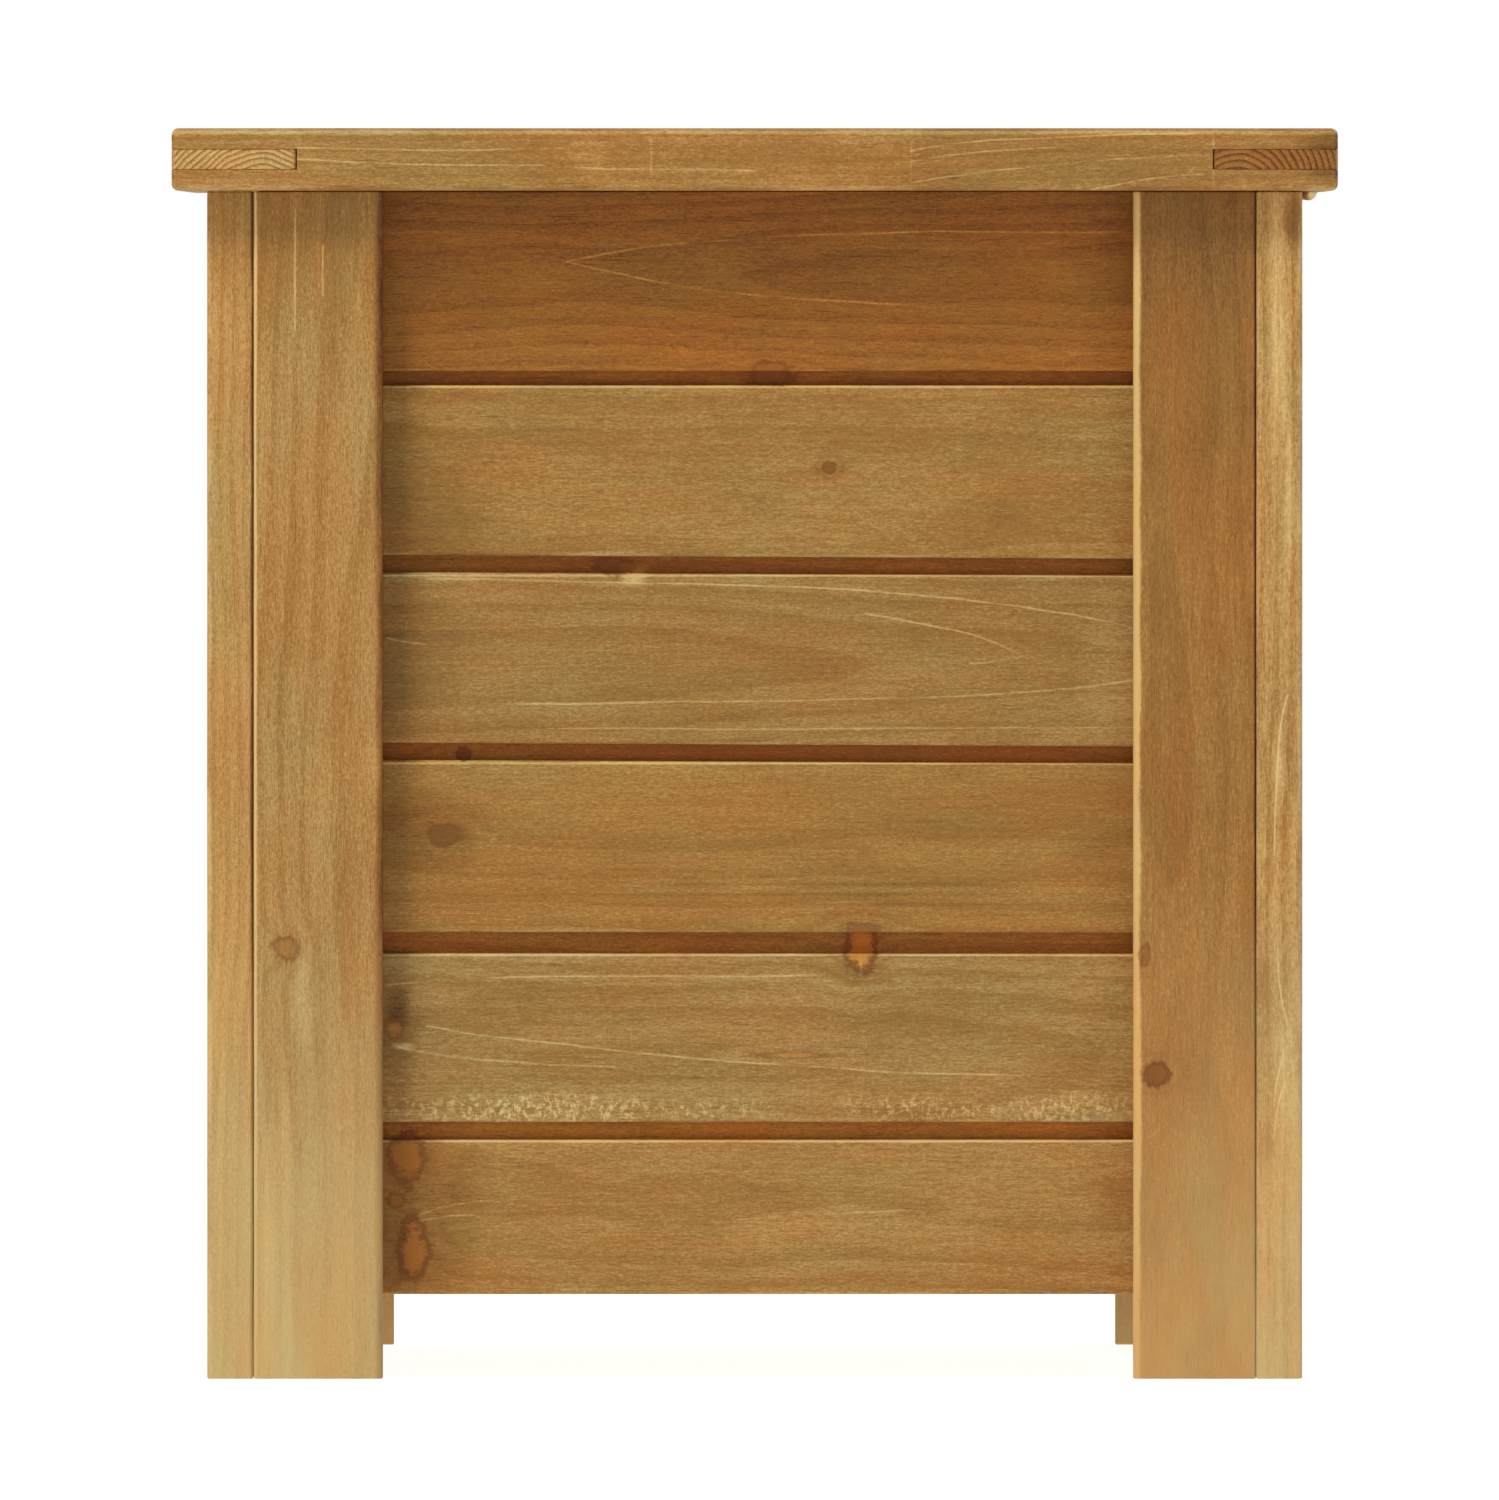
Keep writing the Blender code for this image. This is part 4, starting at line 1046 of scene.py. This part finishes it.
def lid_corners(half, thickness, first, last):
    """A lid board's section. The outer boards have a bare tongue for the long rail's groove."""
    corners = match_corners(-half, half, thickness, SHADOW_GAP, SHADOW_GAP)
    depth = PANEL_TONGUE_DEPTH
    if last:
        tip = half + PANEL_TONGUE
        edge = [(half, depth, 0), (tip, depth, FINE_ROUND), (tip, thickness, FINE_ROUND)]
        corners = [corners[0], (half, 0, BOARD_ROUND)] + edge + corners[7:]
    if first:
        tip = -half - PANEL_TONGUE
        edge = [(tip, thickness, FINE_ROUND), (tip, depth, FINE_ROUND), (-half, depth, 0)]
        corners = corners[:-5] + edge
    return corners


def lid_boards():
    seed = 401.0
    axes = ("+X", "+Y", "-Z")
    rail_low, rail_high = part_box("lid_rail_right")
    inner = rail_low.x - JOINT_GAP
    shoulder = rail_high.z - PANEL_TONGUE_DEPTH
    for number in range(1, LID_BOARDS + 1):
        seed += 2.9
        node = f"lid_board_{number}"
        origin, length, _, thickness = extents(node, axes)
        low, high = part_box(node)
        first, last = number == 1, number == LID_BOARDS
        bottom = low.y + (PANEL_TONGUE if first else SHADOW_GAP - JOINT_GAP)
        top = high.y - (PANEL_TONGUE if last else SHADOW_GAP + TONGUE_BITE)
        origin.y = (bottom + top) / 2
        board = Board(node, origin, axes)
        section = rounded(lid_corners((top - bottom) / 2, thickness, first, last))
        ends = []
        for sign in (-1, 1):
            xs = sorted((sign * inner, sign * (length / 2 + PAST)))
            ends.append((
                (xs[0], low.y - 2 * PAST, shoulder), (xs[1], high.y + 2 * PAST, high.z + PAST),
            ))
        mesh = carve(sweep(board, section, length, seed=seed), ends)
        # The shadow gaps between the lid boards are darker too: gathered stain and painted shade
        grain = {"tone": 0.52, "gap_stain_and_shade_below": 1.0, **LID_BOARD_GRAIN.get(number, {})}
        show_board("panel_" + node, board, mesh, "lid", "lid_wood", seed, **grain)


def cleats():
    for side, seed in (("left", 501.0), ("right", 507.0)):
        node = f"lid_cleat_{side}"
        radii = (POST_ROUND, POST_ROUND, 0, 0)
        plain_board(
            "under_" + node, node, ("+Y", "+X", "+Z"), radii, "lid", "lid_wood", seed, 0.50,
            end_round=CLEAT_END_ROUND,
        )


# ---- floor of the box -----------------------------------------------------------------


def box_floor():
    battens = {
        "floor_batten_front": "+X", "floor_batten_back": "+X",
        "floor_batten_left": "+Y", "floor_batten_right": "+Y", "floor_bearer": "+Y",
    }
    radii = (BOARD_ROUND, BOARD_ROUND, HIDDEN_ROUND, HIDDEN_ROUND)
    seed = 601.0
    for node, along in battens.items():
        seed += 3.3
        axes = (along, "+Y" if along == "+X" else "+X", "+Z")
        plain_board("inner_" + node, node, axes, radii, "box", "inside_wood", seed, 0.66)
    plain_board(
        "inner_floor_panel", "floor_panel", ("+X", "+Y", "-Z"), (PLYWOOD_ROUND,) * 4, "box",
        "plywood", 641.0, 0.72, pith=(0.05, 0.20), spacing=0.020, bend=0.12, rings=0.10,
    )


# ---- metalwork ------------------------------------------------------------------------

PIN_RADIUS = 0.0015
PIN_PLAY = 0.0002
LEAF_REACH = 0.020
LEAF_SINK = 0.0004  # the pin's axis is this far past each leaf's own wood
KNUCKLES = 5
KNUCKLE_GAP = 0.0003
ARC_STEPS = 32
LEAF_SCREW = 0.0034  # radius of the head
PLATE_SCREW = 0.0032
CLEAT_SCREW = 0.0038
SCREW_INSET = 0.008  # leaf's far edge to its screws
SCREW_SIDES = 28
SHANK = 0.53  # radius of a screw's hole, for a head of 1
TURNED_SIDES = 48
PIN_SIDES = 32
PLATE_THICKNESS = 0.002
PLATE_CORNER = 0.004
STRUT_X = 0.388
EYE_HALF = 0.0045  # half the thickness of a strut's eye
EAR_RADIUS = 0.009
EAR_INSET = 0.0002  # keeps the ear's faces off the plate's edges
METAL_BEVEL = 0.00022


def metal(name, colour, dull, roughness, metallic=1.0, brush=(1, 1, 1), **constants):
    """Metal or enamel with smudges and fine scratches that run across the brush direction."""
    s = Shader(name)
    point = s.add("TexCoord").outputs["Object"]
    smudge = s.noise(point, 60.0, 4.0, 0.6)
    grit = s.noise(point, 900.0, 3.0, 0.6)
    scratch = s.noise(point, 1700.0, 2.0, 0.6, brush)
    tarnish = s.band(s.total(smudge, (grit, 0.35)), 0.58, 0.84)
    colour = s.mix(tarnish, colour, dull)
    shade = s.mix(s.band(scratch, 0.3, 0.7), (0.86, 0.86, 0.86), (1.0, 1.0, 1.0))
    colour = s.mix(1.0, colour, shade, "MULTIPLY")
    rough = s.total(roughness, (tarnish, 0.24), (scratch, 0.12))
    height = s.total(s.times(grit, 0.5), (scratch, 0.6))
    return s.finish(colour, rough, height, 0.00004, metallic=metallic, **constants)


METALS = {
    "brass": metal("brass", (0.58, 0.41, 0.185), (0.30, 0.19, 0.08), 0.32, brush=(0.05, 1, 1)),
    "zinc_plate": metal("zinc_plate", (0.66, 0.66, 0.63), (0.34, 0.33, 0.30), 0.34),
    "black_paint": metal(
        "black_enamel", (0.018, 0.018, 0.020), (0.045, 0.044, 0.042), 0.26, 0.0, coat_weight=0.3,
    ),
    "chrome_rod": metal(
        "chrome_rod", (0.80, 0.80, 0.81), (0.62, 0.61, 0.60), 0.10, brush=(1, 0.05, 0.05),
    ),
}


def show_metal(name, mesh, slot, body, nodes=()):
    finish_mesh(mesh)
    made = show(name, mesh, METALS[slot], body, nodes)
    bevel = made.modifiers.new("edges", "BEVEL")
    bevel.width = METAL_BEVEL
    bevel.segments = 2
    bevel.limit_method = "ANGLE"
    bevel.angle_limit = math.radians(40)
    bevel.harden_normals = True
    made.modifiers.move(1, 0)
    return made


def turned(bm, profile, start, direction, closed=False, sides=TURNED_SIDES):
    """Adds a turned shape. profile is (radius, distance along the direction) in order.

    A closed profile is a loop clear of the axis, which gives a ring.
    """
    turn = Vector(direction).to_track_quat("Z", "Y").to_matrix()
    rows = []
    for radius, along in profile:
        count = sides if radius > SMALL else 1
        angles = [2 * math.pi * step / count for step in range(count)]
        ring = [Vector((radius * math.cos(a), radius * math.sin(a), along)) for a in angles]
        rows.append([bm.verts.new(Vector(start) + turn @ point) for point in ring])
    pairs = list(zip(rows, rows[1:])) + ([(rows[-1], rows[0])] if closed else [])
    for near, far in pairs:
        for step in range(sides):
            after = (step + 1) % sides
            places = ((near, step), (near, after), (far, after), (far, step))
            corners = [row[place % len(row)] for row, place in places]
            kept = [corner for index, corner in enumerate(corners) if corner not in corners[:index]]
            if len(kept) > 2:
                bm.faces.new(kept)


def mesh_of(bm, name):
    bmesh.ops.recalc_face_normals(bm, faces=bm.faces)
    mesh = bpy.data.meshes.new(name)
    bm.to_mesh(mesh)
    bm.free()
    return mesh


def shape(name, build, *places, **settings):
    """A mesh of one turned, extruded or other built shape."""
    bm = bmesh.new()
    build(bm, *places, **settings)
    return mesh_of(bm, name)


def joined(mesh, build, *places):
    """The mesh with one more built shape joined to it."""
    bm = bmesh.new()
    build(bm, *places)
    return combined(mesh, bm, "UNION")


def extruded(bm, outline, origin, axes, thickness):
    """Adds a flat shape: the outline is in the first two axes, and it is thick along the third."""
    u, v, w = (Vector(axis) for axis in axes)
    rows = [
        [bm.verts.new(Vector(origin) + u * a + v * b + w * lift) for a, b in outline]
        for lift in (0.0, thickness)
    ]
    count = len(outline)
    for step in range(count):
        after = (step + 1) % count
        bm.faces.new((rows[0][step], rows[0][after], rows[1][after], rows[1][step]))
    bm.faces.new(rows[0])
    bm.faces.new(rows[1])


def plate_outline(width, height, radius):
    """A rectangle about the origin with rounded corners."""
    points = []
    for index, (x, y) in enumerate(((1, 1), (-1, 1), (-1, -1), (1, -1))):
        for step in range(7):
            angle = math.pi / 2 * (index + step / 6)
            points.append((
                x * (width / 2 - radius) + radius * math.cos(angle),
                y * (height / 2 - radius) + radius * math.sin(angle),
            ))
    return points


def cross_outline(reach, half_width):
    """A plus shape about the origin."""
    arm = ((reach, -half_width), (reach, half_width), (half_width, half_width))
    turns = [Matrix.Rotation(math.pi / 2 * quarter, 2) for quarter in range(4)]
    return [tuple(turn @ Vector(point)) for turn in turns for point in arm]


def screws(name, spots, outward, slot, body, radius):
    """Countersunk screws with a cross recess. Each spot is the middle of a head, at the surface."""
    outward = Vector(outward)
    heads, recesses = bmesh.new(), bmesh.new()
    profile = (
        (0, -radius), (radius * 0.5, -radius), (radius * 0.5, -radius * 0.44),
        (radius * 0.97, -0.0001), (radius * 0.95, 0.0), (radius * 0.6, 0.00012), (0, 0.00016),
    )
    turn = outward.to_track_quat("Z", "Y").to_matrix()
    recess = radius * 0.30
    cross = cross_outline(radius * 0.60, radius * 0.11)
    for index, spot in enumerate(spots):
        turned(heads, profile, spot, outward, sides=SCREW_SIDES)
        spin = turn @ Matrix.Rotation(0.5 + 1.1 * index, 3, "Z")
        extruded(recesses, cross, Vector(spot) - outward * recess, spin.col, recess * 2)
    mesh = combined(mesh_of(heads, name), recesses)
    finish_mesh(mesh)
    return show(name, mesh, METALS[slot], body)


def countersinks(spots, outward, depth, radius):
    """A tool for the screws' holes in a plate of this depth."""
    bm = bmesh.new()
    shank, beyond = radius * SHANK, 0.002
    profile = (
        (0, -depth - beyond), (shank, -depth - beyond), (shank, -shank),
        (radius * 1.10, 0.00002), (radius * 1.10, beyond), (0, beyond),
    )
    for spot in spots:
        turned(bm, profile, spot, outward, sides=SCREW_SIDES)
    return bm


def arc(radius, start, end, steps=ARC_STEPS):
    """Points on a circle about the origin, from one angle in degrees to the other."""
    turns = [math.radians(start + (end - start) * step / steps) for step in range(steps + 1)]
    return [(radius * math.cos(turn), radius * math.sin(turn)) for turn in turns]


def leaf_outline(sign):
    """A leaf's (y, z) section about the pin. sign is -1 for the fixed leaf and 1 for the lid's."""
    inner = PIN_RADIUS + PIN_PLAY
    outer = inner + LEAF_THICKNESS
    near, far = LEAF_SINK, LEAF_SINK + LEAF_THICKNESS
    outline = [
        (-LEAF_REACH, -far), *arc(outer, 180 + math.degrees(math.asin(far / outer)), 540),
        *arc(inner, 540, 180 + math.degrees(math.asin(near / inner))), (-LEAF_REACH, -near),
    ]
    return [(y, -z * sign) for y, z in outline]


def hinge_leaf(side, which, sign, kept, body, pin):
    """One leaf with its share of the knuckles, and its screws."""
    name = f"hinge_{side}_{which}"
    low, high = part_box(f"hinge_{side}_fixed_leaf")
    half = (high.x - low.x) / 2
    origin = pin - Vector((half, 0, 0))
    axes = (AXES["+Y"], AXES["+Z"], AXES["+X"])
    mesh = shape(name, extruded, leaf_outline(sign), origin, axes, 2 * half)
    knuckle = 2 * half / KNUCKLES
    reach = KNUCKLE_RADIUS + 2 * JOINT_GAP
    for number in range(KNUCKLES):
        if number % 2 != kept:
            start = pin.x - half + number * knuckle
            mesh = carve(mesh, [(
                (start - KNUCKLE_GAP / 2, pin.y - reach, pin.z - reach),
                (start + knuckle + KNUCKLE_GAP / 2, pin.y + reach, pin.z + reach),
            )])
    # The screws' heads face the other leaf
    outward = AXES["+Z"] * -sign
    face = pin.z + sign * LEAF_SINK
    spots = [
        Vector((pin.x + step * 2 * half / 3, pin.y - LEAF_REACH + SCREW_INSET, face))
        for step in (-1, 0, 1)
    ]
    mesh = combined(mesh, countersinks(spots, outward, LEAF_THICKNESS, LEAF_SCREW))
    show_metal(name + "_plate", mesh, "brass", body, [name + "_leaf"])
    sunk = [spot - outward * 0.00025 for spot in spots]
    screws(name + "_screws", sunk, outward, "brass", body, LEAF_SCREW)


def hinges():
    for side in ("left", "right"):
        node = f"hinge_{side}_pin"
        low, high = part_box(node)
        pin = (low + high) / 2
        hinge_leaf(side, "fixed", -1, 0, "box", pin)
        hinge_leaf(side, "lid", 1, 1, "lid", pin)
        length = high.x - low.x
        head = ((0, 0), (0.0016, 0.0002), (0.0026, 0.0008), (0.0031, 0.0016), (0.0031, 0.0022))
        waist = head[-1][1]
        profile = (
            *head, (PIN_RADIUS, waist), (PIN_RADIUS, length - waist),
            *((radius, length - along) for radius, along in reversed(head)),
        )
        mesh = shape(node, turned, profile, (low.x, pin.y, pin.z), AXES["+X"], sides=PIN_SIDES)
        show_metal(node + "_turned", mesh, "brass", "box", [node])


def eye(bm, centre):
    """The ring at a strut's end, about an axis along X."""
    hole, outer, soft = 0.0042, 0.0080, 0.0006
    profile = (
        (hole + soft, -EYE_HALF), (outer - soft, -EYE_HALF), (outer, soft - EYE_HALF),
        (outer, EYE_HALF - soft), (outer - soft, EYE_HALF), (hole + soft, EYE_HALF),
        (hole, EYE_HALF - soft), (hole, soft - EYE_HALF),
    )
    turned(bm, profile, centre, AXES["+X"], closed=True)


def stud(bm, root_x, centre, tip_x):
    """A stud with a spacer, a groove and a domed head, from a plate along -X."""
    root = Vector((root_x, centre.y, centre.z))
    length = root_x - tip_x
    spacer = root_x - (STRUT_X + EYE_HALF) - 0.0005
    profile = (
        (0, -0.0006), (0.0058, -0.0006), (0.0058, spacer - 0.0004), (0.0054, spacer),
        (0.0040, spacer), (0.0040, length - 0.0017), (0.0060, length - 0.0015),
        (0.0060, length - 0.0008), (0.0050, length - 0.0003), (0.0030, length), (0, length),
    )
    turned(bm, profile, root, AXES["-X"])


# Turned parts of the strut: (radius, distance from the eye's middle)
STRUT_TUBE = (
    (0, 0.0060), (0.0045, 0.0060), (0.0045, 0.0112), (0.0052, 0.0122), (0.0068, 0.0131),
    (0.0074, 0.0138), (0.0075, 0.0148), (0.0075, 0.1950), (0.0071, 0.1960), (0.0071, 0.1970),
    (0.0075, 0.1980), (0.0075, 0.2036), (0.0073, 0.2050), (0.0067, 0.2062), (0.0058, 0.2069),
    (0.0050, 0.2070), (0.0037, 0.2070), (0.0033, 0.2066), (0.0033, 0.0240), (0, 0.0240),
)
STRUT_ROD = ((0, 0.0160), (0.0030, 0.0160), (0.0030, 0.1974), (0.0024, 0.1980), (0, 0.1980))
STRUT_COLLAR = (
    (0, 0.0060), (0.0050, 0.0060), (0.0050, 0.0160), (0.0044, 0.0172), (0.0034, 0.0178), (0, 0.0178),
)


def strut_plate(where, body, size, origin, axes, centre, steps, root_x, pivot, tip_x, ear=()):
    """A plate with two screws and a stud for the strut's eye, and an ear where it has one.

    steps are from the centre to each screw. The stud runs from root_x to tip_x at the pivot.
    """
    outline = plate_outline(*size, PLATE_CORNER)
    mesh = shape(f"{where}_plate", extruded, outline, origin, axes, PLATE_THICKNESS)
    spots = [centre + step for step in steps]
    mesh = combined(mesh, countersinks(spots, axes[2], PLATE_THICKNESS, PLATE_SCREW))
    if ear:
        mesh = joined(mesh, extruded, *ear)
    mesh = joined(mesh, stud, root_x, pivot, tip_x)
    show_metal(f"strut_{where}_plate", mesh, "zinc_plate", body, [f"strut_{where}_bracket"])
    screws(f"strut_{where}_screws", spots, axes[2], "zinc_plate", body, PLATE_SCREW)


def strut():
    wall_low, wall_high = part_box("strut_wall_bracket")
    lid_low, lid_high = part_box("strut_lid_bracket")
    lower = Vector((STRUT_X, (wall_low.y + wall_high.y) / 2, (wall_low.z + wall_high.z) / 2))
    upper = Vector((STRUT_X, (lid_low.y + lid_high.y) / 2, lid_low.z + EAR_RADIUS))
    way = (upper - lower).normalized()

    tube = shape("tube", turned, STRUT_TUBE, lower, way)
    show_metal("strut_gas_cylinder", tube, "black_paint", "strut_cylinder", ["strut_cylinder"])
    show_metal("strut_foot_eye", shape("foot", eye, lower), "zinc_plate", "strut_cylinder")
    rod = shape("rod", turned, STRUT_ROD, upper, -way)
    show_metal("strut_piston_rod", rod, "chrome_rod", "strut_rod", ["strut_rod"])
    head = joined(shape("head", turned, STRUT_COLLAR, upper, -way), eye, upper)
    show_metal("strut_head_eye", head, "zinc_plate", "strut_rod")

    against_wall = (AXES["+Y"], AXES["+Z"], AXES["-X"])
    face = wall_high.x - PLATE_THICKNESS
    strut_plate(
        "wall", "box", (wall_high.y - wall_low.y, wall_high.z - wall_low.z),
        Vector((wall_high.x, lower.y, lower.z)), against_wall, Vector((face, lower.y, lower.z)),
        [Vector((0, 0, step)) for step in (-0.0155, 0.0155)], face, lower, wall_low.x,
    )
    size = (lid_high.x - lid_low.x, lid_high.y - lid_low.y)
    middle = Vector((lid_high.x - size[0] / 2, upper.y, lid_high.z))
    under = lid_high.z - PLATE_THICKNESS
    rim = lid_high.z - upper.z - 0.0004
    below = arc(EAR_RADIUS, 0, -180, steps=24)
    ear = (
        [(EAR_RADIUS, rim), *below, (-EAR_RADIUS, rim)],
        Vector((lid_high.x - EAR_INSET, upper.y, upper.z)), against_wall, PLATE_THICKNESS - EAR_INSET,
    )
    strut_plate(
        "lid", "lid", size, middle, (AXES["+X"], AXES["+Y"], AXES["-Z"]),
        Vector((middle.x - 0.002, upper.y, under)),
        [Vector((0, step, 0)) for step in (-0.0145, 0.0145)],
        lid_high.x - PLATE_THICKNESS, upper, wall_low.x, ear,
    )


def fixings():
    """Screws through the cleats, and the pins that hold the floor panel down."""
    for side in ("left", "right"):
        low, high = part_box(f"lid_cleat_{side}")
        middle = (low + high) / 2
        spots = [
            Vector((middle.x, middle.y + step, low.z + 0.00005))
            for step in (-0.140, -0.047, 0.047, 0.140)
        ]
        screws(f"lid_cleat_{side}_screws", spots, AXES["-Z"], "zinc_plate", "lid", CLEAT_SCREW)
    low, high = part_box("floor_panel")
    edge = 0.010
    spots = []
    for step in range(7):
        x = low.x + edge + (high.x - low.x - 2 * edge) * step / 6
        spots += [(x, low.y + edge), (x, high.y - edge)]
    for step in (1, 2):
        y = low.y + edge + (high.y - low.y - 2 * edge) * step / 3
        spots += [(low.x + edge, y), (0.0, y), (high.x - edge, y)]
    dome = (
        (0, -0.002), (0.0009, -0.002), (0.0009, -0.0001), (0.0020, 0.0), (0.0017, 0.0004), (0, 0.0006),
    )
    bm = bmesh.new()
    for x, y in spots:
        turned(bm, dome, (x, y, high.z), AXES["+Z"], sides=16)
    mesh = mesh_of(bm, "pins")
    finish_mesh(mesh)
    show("floor_panel_pins", mesh, METALS["zinc_plate"], "box")


# ---- stage ----------------------------------------------------------------------------

FLOOR_SIZE = 60.0
CAMERA_DISTANCE = 27.5
CAMERA_HEIGHT = 0.447
VIEW_WIDTH = 0.5996
VIEW_CENTRE = (-0.0021, 0.2514)  # across and up, at the near end of the box
OVERHANG = 0.014  # the lid's, past the photographed end
SENSOR = 36.0
BACKDROP = 1.0  # brightness of the white beyond the floor, as it is seen
SKY = 0.36  # and as it lights the box
PAPER = 0.40
PAPER_GLOW = 0.90

LAMPS_AIM = (0, 0, 0.25)
# Studio lamps: name, place, size across, power
LAMPS = (
    ("key", (3.1, -2.1, 5.0), 1.3, 225.0),
    ("fill", (3.6, 2.6, 1.6), 2.4, 16.0),
    ("rear", (-3.4, 2.8, 3.2), 2.4, 110.0),
)


def stage():
    bm = bmesh.new()
    bmesh.ops.create_grid(bm, x_segments=8, y_segments=8, size=FLOOR_SIZE / 2)
    mesh = bpy.data.meshes.new("studio_floor")
    bm.to_mesh(mesh)
    bm.free()
    floor = in_scene("studio_floor", mesh)
    floor.location.z = -0.0002  # just under the feet
    paper = Shader("white_paper")
    grain = paper.noise(paper.add("TexCoord").outputs["Object"], 40.0)
    white = (PAPER, PAPER, PAPER)
    finished = paper.finish(
        white, 0.9, grain, 0.0001, specular_ior_level=0.0,
        emission_color=(1.0, 1.0, 1.0, 1.0), emission_strength=PAPER_GLOW,
    )
    finished.cycles.emission_sampling = "NONE"
    mesh.materials.append(finished)

    world = bpy.data.worlds.new("studio")
    world.use_nodes = True
    tree = world.node_tree
    background = tree.nodes["Background"]
    seen = tree.nodes.new("ShaderNodeLightPath").outputs["Is Camera Ray"]
    strength = tree.nodes.new("ShaderNodeMapRange")
    tree.links.new(seen, strength.inputs[0])
    strength.inputs[3].default_value = SKY
    strength.inputs[4].default_value = BACKDROP
    tree.links.new(strength.outputs[0], background.inputs["Strength"])
    background.inputs["Color"].default_value = (1.0, 1.0, 1.0, 1.0)
    bpy.context.scene.world = world

    for name, place, size, power in LAMPS:
        data = bpy.data.lights.new(name, "AREA")
        data.size = size
        data.energy = power
        lamp = in_scene(name, data)
        lamp.location = place
        aim = Vector(LAMPS_AIM) - Vector(place)
        lamp.rotation_euler = aim.to_track_quat("-Z", "Y").to_euler()


def camera():
    data = bpy.data.cameras.new("camera")
    data.sensor_width = SENSOR
    near_end = CAD_BOX[1][0] - OVERHANG
    data.lens = SENSOR * (CAMERA_DISTANCE - near_end) / VIEW_WIDTH
    data.clip_start = 1.0
    data.clip_end = 100.0
    made = in_scene("camera", data)
    made.location = (CAMERA_DISTANCE, VIEW_CENTRE[0], CAMERA_HEIGHT)
    tilt = math.atan((CAMERA_HEIGHT - VIEW_CENTRE[1]) / (CAMERA_DISTANCE - near_end))
    made.rotation_euler = (math.pi / 2 - tilt, 0, math.pi / 2)
    bpy.context.scene.camera = made


bpy.context.scene.view_settings.view_transform = "Standard"
posts()
hinge_rail()
walls()
lid_rails()
lid_boards()
cleats()
box_floor()
hinges()
strut()
fixings()
stage()
camera()
